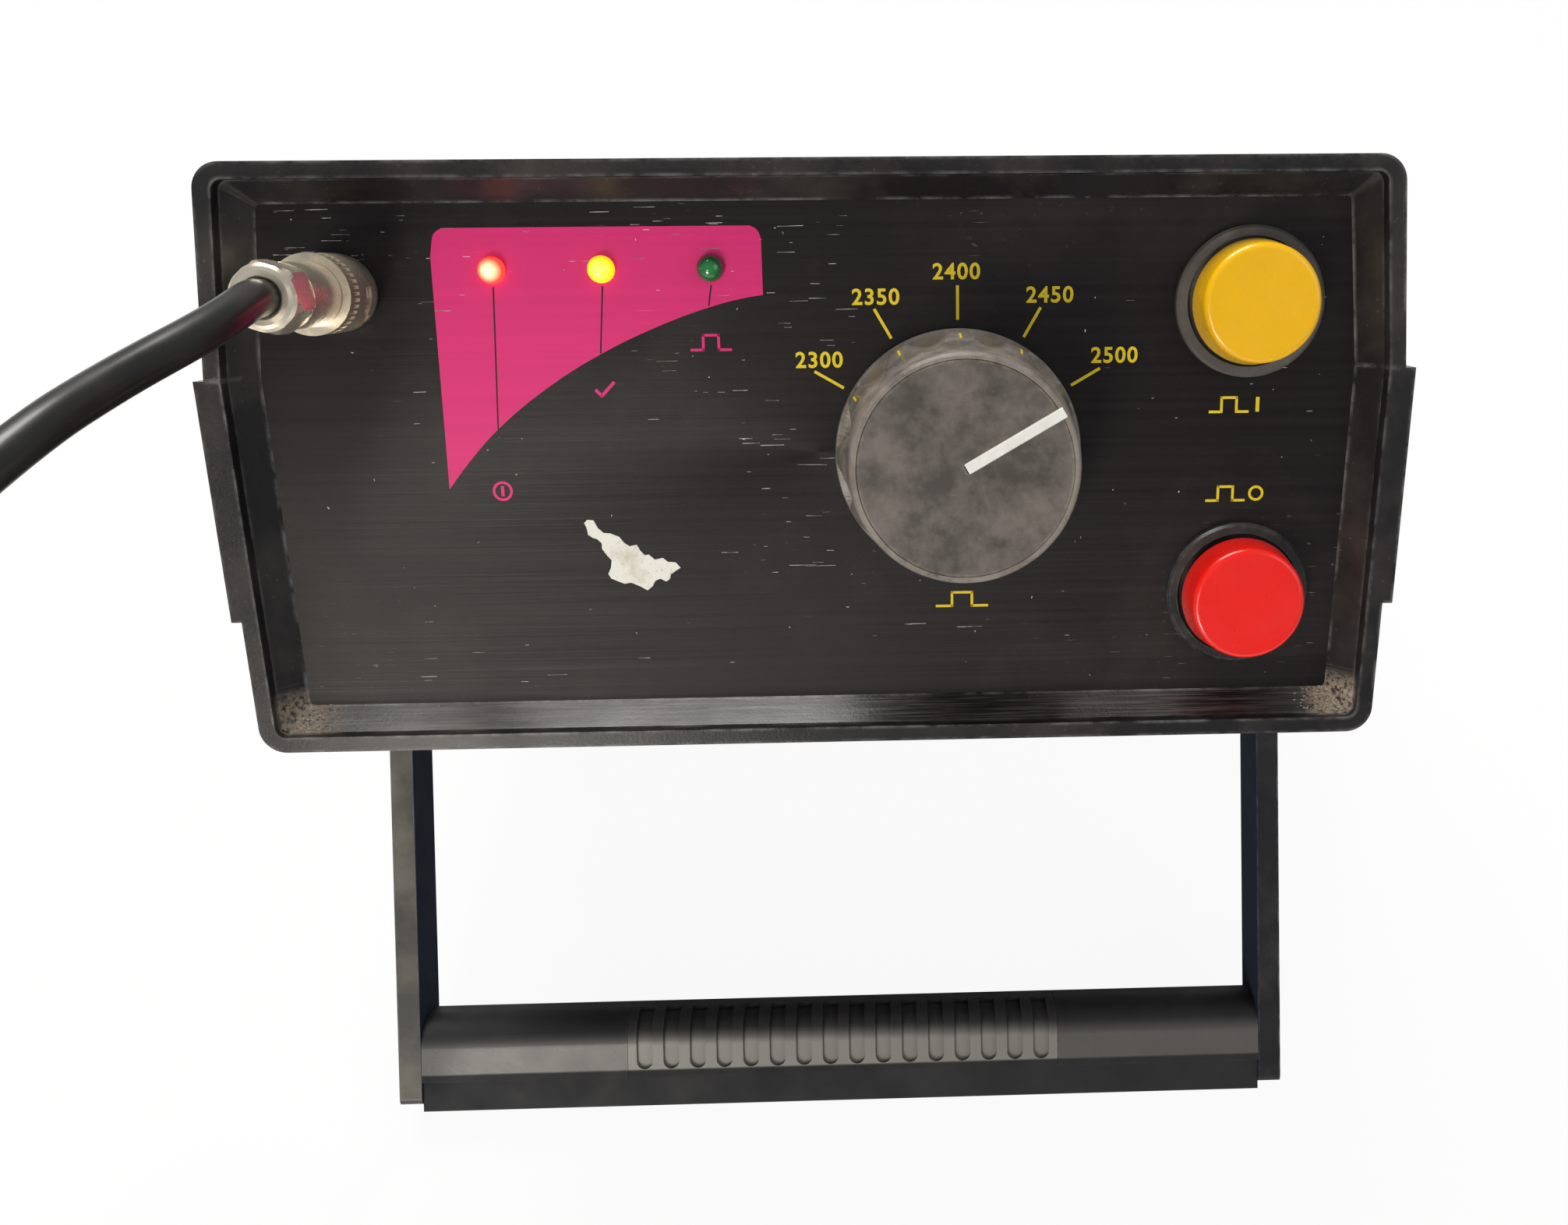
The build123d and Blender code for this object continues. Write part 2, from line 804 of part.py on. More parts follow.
pointer_angle = 90 - pointer_turn
pointer_length = knob_cap_radius - pointer_margin
with BuildPart() as knob_cap:
    with BuildSketch(place_plane(dial_x, knob_front + knob_cap_thickness, dial_z)):
        Circle(knob_cap_radius)
    extrude(amount=knob_cap_thickness)
    with BuildSketch(place_plane(dial_x, knob_front, dial_z)):
        with Locations(Location((0, 0), pointer_angle)):
            Rectangle(pointer_length, pointer_width, align=(Align.MIN, Align.CENTER))
    extrude(amount=-pointer_thickness, mode=Mode.SUBTRACT)
keep("knob_cap", knob_cap)

with BuildPart() as knob_pointer:
    with BuildSketch(place_plane(dial_x, knob_front + pointer_thickness, dial_z)):
        with Locations(Location((0, 0), pointer_angle)):
            Rectangle(pointer_length, pointer_width, align=(Align.MIN, Align.CENTER))
    extrude(amount=pointer_thickness)
keep("knob_pointer", knob_pointer)

with BuildPart() as knob_grub_screw:
    with BuildSketch(Plane.XY.offset(dial_z - shaft_radius - running)):
        with Locations((dial_x, grub_depth)):
            Circle(grub_radius)
            RegularPolygon(grub_radius / 2, 6, mode=Mode.SUBTRACT)
    extrude(amount=-grub_length)
keep("knob_grub_screw", knob_grub_screw)

selector_front = panel_back
selector_back = selector_front + selector_depth
with BuildPart() as selector_shaft:
    with BuildSketch(place_plane(dial_x, selector_back + shaft_tail, dial_z)):
        Circle(shaft_radius)
    extrude(amount=selector_back + shaft_tail - knob_back + knob_hub_depth - free_gap)
keep("selector_shaft", selector_shaft)

with BuildPart() as selector_switch:
    with BuildSketch(place_plane(dial_x, selector_back, dial_z)):
        Circle(selector_radius)
    extrude(amount=selector_depth)
    with BuildSketch(place_plane(dial_x, selector_front, dial_z)):
        Circle(bush_radius)
    extrude(amount=panel_thickness + bush_reach)
    with BuildSketch(place_plane(dial_x, selector_back, dial_z)):
        Circle(shaft_radius + running)
    extrude(amount=selector_depth + panel_thickness + bush_reach, mode=Mode.SUBTRACT)
    with BuildSketch(place_plane(dial_x, selector_back - selector_depth / 3, dial_z)):
        with PolarLocations(selector_radius, selector_lug_count):
            Rectangle(selector_lug_length, selector_lug_width)
    extrude(amount=selector_lug_thickness)
keep("selector_switch", selector_switch)

with BuildPart() as selector_nut:
    with BuildSketch(place_plane(dial_x, panel_face, dial_z)):
        RegularPolygon(bush_nut_radius, 6)
        Circle(bush_radius + running, mode=Mode.SUBTRACT)
    extrude(amount=bush_nut_thickness)
keep("selector_nut", selector_nut)

# ---------------------------------------------------------------- push buttons
barrel_end = panel_back + barrel_length
for button, (x, z) in button_places.items():
    with BuildPart() as bezel:
        with BuildSketch(place_plane(x, panel_face, z)):
            Circle(bezel_radius)
        extrude(amount=bezel_height)
        chamfer(bezel.faces().sort_by(Axis.Y)[0].edges(), bezel_height / 4)
        with BuildSketch(place_plane(x, panel_face - bezel_well_floor, z)):
            Circle(bezel_well_radius)
        extrude(amount=bezel_height, mode=Mode.SUBTRACT)
        with BuildSketch(place_plane(x, panel_face, z)):
            Circle(barrel_radius)
        extrude(amount=-(panel_thickness + barrel_length))
        with BuildSketch(place_plane(x, barrel_end, z)):
            Circle(plunger_radius + running)
        extrude(amount=barrel_end, mode=Mode.SUBTRACT)
    keep(button + "_bezel", bezel)

    with BuildPart() as button_cap:
        with BuildSketch(place_plane(x, panel_face - cap_under_height, z)):
            Circle(cap_base_radius)
        with BuildSketch(place_plane(x, panel_face - cap_face_height, z)):
            Circle(cap_face_radius)
        loft()
        fillet(button_cap.faces().sort_by(Axis.Y)[0].edges(), cap_edge_radius)
        with BuildSketch(place_plane(x, panel_face - cap_under_height, z)):
            Circle(plunger_radius)
        extrude(amount=-(cap_under_height + plunger_depth))
    keep(button + "_cap", button_cap)

    with BuildPart() as button_nut:
        with BuildSketch(place_plane(x, panel_back, z)):
            Circle(button_nut_radius)
            with PolarLocations(button_nut_radius, nut_notch_count):
                Rectangle(nut_notch_depth, nut_notch_width, mode=Mode.SUBTRACT)
            Circle(barrel_radius + running, mode=Mode.SUBTRACT)
        extrude(amount=-button_nut_thickness)
    keep(button + "_nut", button_nut)

    with BuildPart() as contact_block:
        with BuildSketch(place_plane(x, barrel_end, z)):
            RectangleRounded(contact_width, contact_width, contact_width / 8)
        extrude(amount=-contact_depth)
        with BuildSketch(place_plane(x, barrel_end + contact_depth, z)):
            with GridLocations(contact_width / 2, contact_width / 2, 2, 2):
                Rectangle(terminal_width, terminal_thickness)
        extrude(amount=-terminal_length)
    keep(button + "_contact_block", contact_block)

# ---------------------------------------------------------------- indicator lamps
led_base = panel_back + led_setback
board_face = panel_back + display_gap
for part_name, (x, z) in zip(led_names, led_places):
    tip = panel_face - led_dome_height
    with BuildPart() as led:
        add(turn_profile(x, z, [
            (0, led_base),
            (led_flange_radius, led_base),
            (led_flange_radius, led_base - led_flange_thickness),
            (led_radius, led_base - led_flange_thickness),
            (led_radius, tip),
            (0, tip),
        ]))
        fillet(led.faces().sort_by(Axis.Y)[0].edges(), led_radius - led_tip_flat)
        with BuildSketch(place_plane(x, led_base, z)):
            with GridLocations(led_lead_pitch, 0, 2, 1):
                Rectangle(led_lead_width, led_lead_width)
        extrude(amount=led_base - board_face)
    keep(part_name, led)

with BuildPart() as led_spacers:
    with BuildSketch(place_plane(0, board_face, 0)):
        with Locations(*led_places):
            Circle(led_flange_radius)
            Rectangle(led_lead_pitch + 2 * led_lead_width, 2 * led_lead_width, mode=Mode.SUBTRACT)
    extrude(amount=board_face - led_base)
keep("led_spacers", led_spacers)

display_middle = (led_places[0][0] + led_places[-1][0]) / 2
display_post_x = led_pitch + display_post_margin
display_width = 2 * (display_post_x + display_end_margin)
with BuildPart() as display_board:
    with BuildSketch(place_plane(display_middle, board_face, led_z - display_drop)):
        Rectangle(display_width, display_height)
        with GridLocations(2 * display_post_x, 0, 2, 1):
            Circle(display_screw_radius + seat, mode=Mode.SUBTRACT)
    extrude(amount=-board_thickness)
keep("display_board", display_board)

with BuildPart() as display_posts:
    with BuildSketch(place_plane(display_middle, panel_back, led_z - display_drop)):
        with GridLocations(2 * display_post_x, 0, 2, 1):
            Circle(display_post_radius)
    extrude(amount=-display_gap)
    with BuildSketch(place_plane(display_middle, board_face, led_z - display_drop)):
        with GridLocations(2 * display_post_x, 0, 2, 1):
            Circle(display_screw_radius)
    extrude(amount=-board_thickness)
keep("display_posts", display_posts)

# ---------------------------------------------------------------- high voltage connector
jack_front = panel_face - jack_reach
jack_face = panel_face - jack_flange_thickness
ring_front = jack_face - ring_gap
ring_rear = ring_front - ring_length
shoulder_face = jack_front - ring_gap
neck_start = shoulder_face - plug_shoulder_thickness
sleeve_start = ring_rear - ring_gap
sleeve_end = sleeve_start - plug_sleeve_length
nut_end = sleeve_end - plug_nut_length
lug_depth = panel_face - lug_height


def across(x_side, radius):
    """Plane facing outwards along X at a radius from the socket's axis."""
    return Plane(
        origin=(socket_x + x_side * radius, lug_depth, socket_z),
        x_dir=(0, 1, 0),
        z_dir=(x_side, 0, 0),
    )


with BuildPart() as hv_socket:
    add(turn_profile(socket_x, socket_z, [
        (0, panel_face + jack_tail_length),
        (jack_tail_radius, panel_face + jack_tail_length),
        (jack_tail_radius, panel_face),
        (jack_flange_radius, panel_face),
        (jack_flange_radius, jack_face),
        (jack_barrel_radius, jack_face),
        (jack_barrel_radius, jack_front),
        (jack_bore_radius, jack_front),
        (jack_bore_radius, panel_face),
        (0, panel_face),
    ]))
    for x_side in (-1, 1):
        with BuildSketch(across(x_side, (jack_bore_radius + jack_barrel_radius) / 2)):
            Circle(lug_radius)
        extrude(amount=lug_tip_radius - (jack_bore_radius + jack_barrel_radius) / 2)
keep("hv_socket", hv_socket)

with BuildPart() as hv_socket_insulator:
    add(turn_profile(socket_x, socket_z, [
        (socket_pin_radius, panel_face),
        (jack_bore_radius, panel_face),
        (jack_bore_radius, panel_face - insulator_base),
        (insulator_radius, panel_face - insulator_base),
        (insulator_radius, jack_front + insulator_base),
        (socket_pin_radius, jack_front + insulator_base),
    ]))
keep("hv_socket_insulator", hv_socket_insulator)

with BuildPart() as hv_socket_nut:
    with BuildSketch(place_plane(socket_x, panel_back, socket_z)):
        RegularPolygon(jack_nut_across / 2, 6, major_radius=False)
        Circle(jack_tail_radius + running, mode=Mode.SUBTRACT)
    extrude(amount=-jack_nut_thickness)
keep("hv_socket_nut", hv_socket_nut)

slot_margin = degrees(asin((lug_radius + free_gap) / ring_bore_radius))
slot_half_width = lug_radius + free_gap
with BuildPart() as hv_plug_ring:
    add(turn_profile(socket_x, socket_z, [
        (ring_bore_radius, ring_front),
        (ring_radius, ring_front),
        (ring_radius, ring_rear),
        (plug_neck_radius + running, ring_rear),
        (plug_neck_radius + running, neck_start - running),
        (ring_bore_radius, neck_start - running),
    ]))
    for half_turn in (0, 180):
        angles = [half_turn + a for a in (slot_margin, -ring_turn / 2, -ring_turn - slot_margin)]
        fan = [(2 * ring_radius * cos(radians(a)), 2 * ring_radius * sin(radians(a))) for a in angles]
        with BuildSketch(place_plane(socket_x, lug_depth + slot_half_width, socket_z)):
            with BuildLine():
                Polyline([(0, 0)] + fan, close=True)
            make_face()
        extrude(amount=2 * slot_half_width, mode=Mode.SUBTRACT)
        with BuildSketch(place_plane(socket_x, ring_front, socket_z)):
            with Locations(Location((0, 0), half_turn - ring_turn)):
                Rectangle(2 * ring_radius, 2 * slot_half_width, align=(Align.MIN, Align.CENTER))
        extrude(amount=ring_front - lug_depth, mode=Mode.SUBTRACT)
    with BuildSketch(place_plane(socket_x, ring_rear + knurl_margin + knurl_length, socket_z)):
        with PolarLocations(ring_radius, knurl_count):
            Circle(knurl_radius)
    extrude(amount=knurl_length, mode=Mode.SUBTRACT)
keep("hv_plug_ring", hv_plug_ring, on_cord=True)

with BuildPart() as hv_plug_body:
    add(turn_profile(socket_x, socket_z, [
        (plug_nose_bore, jack_face - plug_nose_gap),
        (plug_nose_radius, jack_face - plug_nose_gap),
        (plug_nose_radius, shoulder_face),
        (ring_bore_radius - running, shoulder_face),
        (ring_bore_radius - running, neck_start),
        (plug_neck_radius, neck_start),
        (plug_neck_radius, sleeve_start),
        (plug_sleeve_radius, sleeve_start),
        (plug_sleeve_radius, sleeve_end),
        (0, sleeve_end),
        (0, shoulder_face),
        (plug_nose_bore, shoulder_face),
    ]))
keep("hv_plug_body", hv_plug_body, on_cord=True)

with BuildPart() as hv_plug_nut:
    with BuildSketch(place_plane(socket_x, sleeve_end, socket_z)):
        RegularPolygon(plug_nut_across / 2, 6, major_radius=False)
    extrude(amount=plug_nut_length)
    crown = turn_profile(socket_x, socket_z, [
        (0, sleeve_end),
        (plug_nut_across, sleeve_end),
        (plug_nut_across / 2, nut_end),
        (0, nut_end),
    ])
    add(crown, mode=Mode.INTERSECT)
    with BuildSketch(place_plane(socket_x, nut_end, socket_z)):
        Circle(cable_radius + seat)
    extrude(amount=-cable_entry, mode=Mode.SUBTRACT)
keep("hv_plug_nut", hv_plug_nut, on_cord=True)

# ---------------------------------------------------------------- boards and components
board_top = board_underside + board_thickness
board_middle = main_board_front + main_board_length / 2
with BuildPart() as main_board:
    with BuildSketch(Plane.XY.offset(board_underside)):
        with Locations((0, board_middle)):
            Rectangle(main_board_width, main_board_length)
        with Locations(*post_places):
            Circle(screw_hole_radius, mode=Mode.SUBTRACT)
    extrude(amount=board_thickness)
keep("main_board", main_board)

with BuildPart() as board_screws:
    with BuildSketch(Plane.XY.offset(board_top)):
        with Locations(*post_places):
            Circle(board_screw_head_radius)
    extrude(amount=board_screw_head_height)
    with BuildSketch(Plane.XY.offset(board_top)):
        with Locations(*post_places):
            Circle(screw_core_radius - running)
    extrude(amount=-board_screw_length)
keep("board_screws", board_screws)

core_window = (core_width - 2 * core_leg - core_middle_leg) / 2
core_plane = place_plane(core_x, core_y, board_top)
with BuildPart() as hv_transformer_core:
    with BuildSketch(core_plane):
        Rectangle(core_width, core_height, align=(Align.CENTER, Align.MIN))
        with Locations((0, core_height / 2)):
            with GridLocations(core_middle_leg + core_window, 0, 2, 1):
                Rectangle(core_window, core_height - 2 * core_leg, mode=Mode.SUBTRACT)
    extrude(amount=-core_thickness)
keep("hv_transformer_core", hv_transformer_core)

with BuildPart() as hv_transformer_coil:
    with BuildSketch(Plane.XY.offset(board_top + core_leg + free_gap)):
        with Locations((core_x, core_y + core_thickness / 2)):
            winding = core_window - 2 * free_gap
            RectangleRounded(
                core_middle_leg + 2 * free_gap + 2 * winding,
                core_thickness + 2 * free_gap + 2 * winding,
                winding / 2,
            )
            Rectangle(
                core_middle_leg + 2 * free_gap, core_thickness + 2 * free_gap, mode=Mode.SUBTRACT
            )
    extrude(amount=core_height - 2 * core_leg - 2 * free_gap)
keep("hv_transformer_coil", hv_transformer_coil)

with BuildPart() as storage_capacitor:
    with BuildSketch(Plane.XY.offset(board_top)):
        with Locations((capacitor_x, capacitor_y)):
            Circle(capacitor_radius)
    extrude(amount=capacitor_height)
    fillet(storage_capacitor.faces().sort_by(Axis.Z)[-1].edges(), capacitor_edge_radius)
keep("storage_capacitor", storage_capacitor)

with BuildPart() as pulse_relay:
    with BuildSketch(Plane.XY.offset(board_top)):
        with Locations((relay_x, relay_y)):
            Rectangle(relay_width, relay_length)
    extrude(amount=relay_height)
    chamfer(pulse_relay.faces().sort_by(Axis.Z)[-1].edges(), relay_height / 20)
keep("pulse_relay", pulse_relay)

with BuildPart() as discharge_resistors:
    for row in range(resistor_count):
        axis_z = board_top + resistor_radius
        with BuildSketch(place_plane(resistor_x + row * resistor_pitch, resistor_y, axis_z)):
            Circle(resistor_radius)
        extrude(amount=-resistor_length)
keep("discharge_resistors", discharge_resistors)

with BuildPart() as heatsink:
    with BuildSketch(place_plane(heatsink_x, heatsink_y, board_top)):
        Rectangle(heatsink_width, heatsink_base, align=(Align.CENTER, Align.MIN))
        with GridLocations(heatsink_width / heatsink_fins, 0, heatsink_fins, 1):
            Rectangle(heatsink_fin, heatsink_height, align=(Align.CENTER, Align.MIN))
    extrude(amount=-heatsink_length)
keep("heatsink", heatsink)

# ---------------------------------------------------------------- rear panel fittings
def rear_plane(x, y, z):
    """Plane facing rearwards (normal +Y) with its origin at x, y, z."""
    return Plane(origin=(x, y, z), x_dir=(-1, 0, 0), z_dir=(0, 1, 0))


inlet_face = rear_face + inlet_flange_thickness
with BuildPart() as mains_inlet:
    with BuildSketch(rear_plane(inlet_x, rear_face, inlet_z)):
        RectangleRounded(inlet_width + 2 * inlet_lip, inlet_height + 2 * inlet_lip, inlet_lip)
    extrude(amount=inlet_flange_thickness)
    with BuildSketch(rear_plane(inlet_x, rear_face, inlet_z)):
        Rectangle(inlet_width, inlet_height)
    extrude(amount=-inlet_depth)
    with BuildSketch(rear_plane(inlet_x, inlet_face, inlet_z)):
        Rectangle(inlet_width - 2 * inlet_wall, inlet_height - 2 * inlet_wall)
        chamfer(vertices().sort_by(Axis.Y)[-2:], inlet_wall * 2)
    extrude(amount=-inlet_socket_depth, mode=Mode.SUBTRACT)
    with BuildSketch(rear_plane(inlet_x, inlet_face, inlet_z)):
        with Locations((-blade_pitch, -blade_rise / 2), (0, blade_rise / 2), (blade_pitch, -blade_rise / 2)):
            Rectangle(blade_thickness, blade_width)
    extrude(amount=-inlet_depth - inlet_flange_thickness, mode=Mode.SUBTRACT)
keep("mains_inlet", mains_inlet)

with BuildPart() as mains_inlet_blades:
    with BuildSketch(rear_plane(inlet_x, rear_face - inlet_depth - terminal_length, inlet_z)):
        with Locations((-blade_pitch, -blade_rise / 2), (0, blade_rise / 2), (blade_pitch, -blade_rise / 2)):
            Rectangle(blade_thickness, blade_width)
    extrude(amount=inlet_depth + terminal_length - blade_setback)
keep("mains_inlet_blades", mains_inlet_blades)

rocker_pivot_depth = rear_face - rocker_pivot_inset
with BuildPart() as mains_switch_frame:
    with BuildSketch(rear_plane(rocker_x, rear_face, rocker_z)):
        Rectangle(rocker_width + 2 * rocker_lip, rocker_length + 2 * rocker_lip)
    extrude(amount=rocker_lip)
    with BuildSketch(rear_plane(rocker_x, rear_face, rocker_z)):
        Rectangle(rocker_width, rocker_length)
    extrude(amount=-rocker_body_depth)
    with BuildSketch(rear_plane(rocker_x, rear_face + rocker_lip, rocker_z)):
        Rectangle(rocker_width - 2 * rocker_wall, rocker_length - 2 * rocker_wall)
    extrude(amount=-(rocker_lip + rocker_cavity_depth), mode=Mode.SUBTRACT)
    with BuildSketch(Plane(origin=(rocker_x, rocker_pivot_depth, rocker_z), z_dir=(1, 0, 0))):
        Circle(trunnion_radius + running)
    extrude(amount=rocker_width / 2 - rocker_wall + trunnion_length + seat, both=True, mode=Mode.SUBTRACT)
keep("mains_switch_frame", mains_switch_frame)

rocker_half = rocker_length / 2 - rocker_wall - rocker_end_gap
rocker_side = rocker_width / 2 - rocker_wall - free_gap
rocker_rise = rocker_pivot_inset + rocker_lip
with BuildPart() as mains_rocker:
    rest_turn = radians(rocker_throw / 2)
    tilted_plane = Plane(
        origin=(rocker_x, rocker_pivot_depth, rocker_z),
        x_dir=(0, sin(rest_turn), cos(rest_turn)),
        z_dir=(-1, 0, 0),
    )
    with BuildSketch(tilted_plane):
        with BuildLine():
            Polyline(
                (rocker_half, rocker_rise + rocker_proud),
                (rocker_half, -trunnion_radius),
                (-rocker_half, -trunnion_radius),
                (-rocker_half, rocker_rise + rocker_proud),
                (0, rocker_rise),
                close=True,
            )
        make_face()
    extrude(amount=rocker_side, both=True)
    with BuildSketch(tilted_plane):
        Circle(trunnion_radius)
    extrude(amount=rocker_width / 2 - rocker_wall + trunnion_length, both=True)
keep("mains_rocker", mains_rocker)

with BuildPart() as fuse_holder:
    add(turn_profile(fuse_x, fuse_z, [
        (0, rear_face - fuse_length),
        (fuse_radius, rear_face - fuse_length),
        (fuse_radius, rear_face),
        (fuse_radius + fuse_lip, rear_face),
        (fuse_radius + fuse_lip, rear_face + fuse_lip),
        (fuse_radius, rear_face + fuse_lip),
        (fuse_radius, rear_face + fuse_cap_height),
        (0, rear_face + fuse_cap_height),
    ]))
    with BuildSketch(rear_plane(fuse_x, rear_face + fuse_cap_height, fuse_z)):
        Rectangle(2 * fuse_radius, fuse_slot_width)
    extrude(amount=-fuse_slot_depth, mode=Mode.SUBTRACT)
keep("fuse_holder", fuse_holder)

# ---------------------------------------------------------------- standing on the bench
grip_contact = handle_plane(0).from_local_coords(
    (grip_end - grip_edge_radius, grip_depth / 2 - grip_edge_radius, 0)
)
foot_contact = Vector(
    0,
    case_depth - foot_rear_inset + foot_radius - foot_edge_radius,
    foot_edge_radius - foot_height,
)
stance = foot_contact - grip_contact
stand_tilt = degrees(
    atan2(stance.Z, stance.Y)
    + asin((grip_edge_radius - foot_edge_radius) / hypot(stance.Y, stance.Z))
)
tilted_boxes = [
    piece.moved(Location((0, 0, 0), (-stand_tilt, 0, 0))).bounding_box()
    for part_name, piece in pieces.items() if part_name not in cord_pieces
]
stand_lift = -min(box.min.Z for box in tilted_boxes)
stand_middle = (min(box.min.Y for box in tilted_boxes) + max(box.max.Y for box in tilted_boxes)) / 2
stand = Location((0, -stand_middle, stand_lift), (-stand_tilt, 0, 0))
standing = {part_name: piece.moved(stand) for part_name, piece in pieces.items()}


def on_bench(x, y, z):
    """A point of the level case, where it lies once the instrument stands on the bench."""
    return (stand * Location((x, y, z))).position


# ---------------------------------------------------------------- high voltage cable
cable_route = [
    on_bench(socket_x, nut_end + cable_entry, socket_z),
    on_bench(socket_x, nut_end - cable_lead, socket_z),
    (-87.6, -91.5, 247.7),
    (-95.1, -107.0, 252.6),
    (-99.6, -125.0, 259.3),
    (-111.0, -160.0, 264.0),
    (-127.0, -186.0, 256.0),
    (-139.0, -206.0, 232.0),
    (-143.0, -214.0, 190.0),
    (-141.0, -215.0, 140.0),
    (-134.0, -209.0, 90.0),
    (-131.0, -199.0, 50.0),
    (-134.0, -190.0, 20.0),
    (-150.0, -186.0, 5.0),
    (coil_x, coil_y + coil_radius, cable_radius),
]
coil_height = 2 * cable_radius * (int(coil_turns) + 1)
coil_exit_height = coil_height - cable_radius
tail_route = [
    (coil_x, coil_y - coil_radius, coil_exit_height),
    (-150.0, -258.0, 13.0),
    (-134.0, -258.0, 8.5),
    (-118.0, -258.0, end_plug_radius),
    (-101.0, -258.0, end_plug_radius),
]


def corner_radii(points):
    """Largest smooth arc at each inner point: 0.45 of the shorter run over tan(half turn)."""
    radii = []
    for before, here, after in zip(points, points[1:], points[2:]):
        run_in = Vector(here) - Vector(before)
        run_out = Vector(after) - Vector(here)
        half_turn = radians(run_in.get_angle(run_out)) / 2
        radii.append(0.45 * min(run_in.length, run_out.length) / tan(half_turn))
    return radii


def cable_tube(points):
    """Plain round cable through the given points."""
    with BuildPart() as tube:
        with BuildLine() as route:
            FilletPolyline(*points, radius=corner_radii(points))
        path = route.wire()
        with BuildSketch(path ^ 0):
            Circle(cable_radius)
        sweep(path=path)
    section = pi * cable_radius**2
    print("cable length", round(path.length, 1), "volume share",
          round(tube.part.volume / (section * path.length), 4),
          "radii", [round(r) for r in corner_radii(points)])
    return tube.part


standing["hv_cable"] = cable_tube(cable_route)
standing["hv_cable_tail"] = cable_tube(tail_route)

with BuildPart() as cable_coil:
    with BuildSketch(Plane.XY):
        with Locations((coil_x, coil_y)):
            Circle(coil_radius + cable_radius)
            Circle(coil_radius - cable_radius, mode=Mode.SUBTRACT)
    extrude(amount=coil_height)
standing["cable_coil"] = cable_coil.part
print("coil length", round(2 * pi * coil_radius * coil_turns, 1))

tail_end = Vector(tail_route[-1])
tail_heading = (tail_end - Vector(tail_route[-2])).normalized()
plug_shoulder = tail_end + tail_heading * end_plug_taper_length
plug_tip = tail_end + tail_heading * end_plug_length
with BuildPart() as cable_end_plug:
    with BuildSketch(Plane(origin=tail_end, z_dir=tail_heading)):
        Circle(end_plug_neck_radius)
    with BuildSketch(Plane(origin=plug_shoulder, z_dir=tail_heading)):
        Circle(end_plug_radius)
    loft()
    with BuildSketch(Plane(origin=plug_shoulder, z_dir=tail_heading)):
        Circle(end_plug_radius)
    extrude(amount=end_plug_length - end_plug_taper_length)
    fillet(
        cable_end_plug.faces().sort_by(Axis(tail_end, tail_heading))[-1].edges(),
        end_plug_edge_radius,
    )
standing["cable_end_plug"] = cable_end_plug.part

with BuildPart() as cable_end_contacts:
    with BuildSketch(Plane(origin=plug_tip, z_dir=tail_heading)):
        Circle(end_sleeve_radius)
        Circle(end_sleeve_bore, mode=Mode.SUBTRACT)
    extrude(amount=end_sleeve_length)
    with BuildSketch(Plane(origin=plug_tip, z_dir=tail_heading)):
        Circle(end_contact_radius)
    extrude(amount=end_contact_length)
    contact_tip = cable_end_contacts.edges(Select.LAST).sort_by(Axis(tail_end, tail_heading))[-1]
    fillet(contact_tip, end_contact_radius / 2)
standing["cable_end_contacts"] = cable_end_contacts.part

if __name__ == "__main__":
    os.makedirs("parts", exist_ok=True)
    for part_name, piece in standing.items():
        piece.label = part_name
        export_step(piece, "parts/" + part_name + ".step")
    print("tilt", stand_tilt, "lift", stand_lift, "middle", stand_middle)
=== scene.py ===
"""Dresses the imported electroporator: its finishes, printed front, output cable, stage and camera."""

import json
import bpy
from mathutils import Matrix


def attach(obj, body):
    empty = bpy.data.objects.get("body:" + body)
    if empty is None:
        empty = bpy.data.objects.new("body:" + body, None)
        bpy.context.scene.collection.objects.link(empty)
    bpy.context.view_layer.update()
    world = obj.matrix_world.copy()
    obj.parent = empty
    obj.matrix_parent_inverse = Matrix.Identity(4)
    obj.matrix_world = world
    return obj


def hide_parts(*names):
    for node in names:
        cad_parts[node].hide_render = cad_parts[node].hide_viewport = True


bl_info = {
    "name": "Electroporator Finish",
    "version": (1, 0, 0),
    "blender": (4, 5, 0),
    "location": "3D View > Sidebar > Electroporator",
    "description": "Finishes the packed electroporator and sets it on a pale bench",
    "category": "Object",
}

from math import atan2, cos, pi, radians, sin
from random import Random

import bmesh
import bpy
from bpy.props import FloatProperty, FloatVectorProperty, IntProperty, PointerProperty
from mathutils import Matrix, Vector

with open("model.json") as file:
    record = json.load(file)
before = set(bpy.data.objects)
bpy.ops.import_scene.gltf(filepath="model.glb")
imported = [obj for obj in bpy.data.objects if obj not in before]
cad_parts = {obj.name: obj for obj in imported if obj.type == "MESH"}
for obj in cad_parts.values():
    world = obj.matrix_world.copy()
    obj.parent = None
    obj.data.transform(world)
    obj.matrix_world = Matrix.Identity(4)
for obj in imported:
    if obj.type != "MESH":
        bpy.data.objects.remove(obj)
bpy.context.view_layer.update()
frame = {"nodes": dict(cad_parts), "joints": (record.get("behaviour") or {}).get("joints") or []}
joints = {joint["name"]: joint for joint in frame["joints"]}

# The case leans back on its handle. Its own axes are found from its joints:
# the push buttons travel along its depth, and the handle turns about its pivot.
depth_axis = Vector(joints["start_press"]["axis"])
pivot = Vector(joints["handle_swing"]["pos_m"])
case_turn = Vector((0, 1, 0)).rotation_difference(depth_axis)
pivot_in_case = Vector((0, 0.120, 0.048))
case_place = Matrix.Translation(pivot) @ case_turn.to_matrix().to_4x4() @ Matrix.Translation(-pivot_in_case)

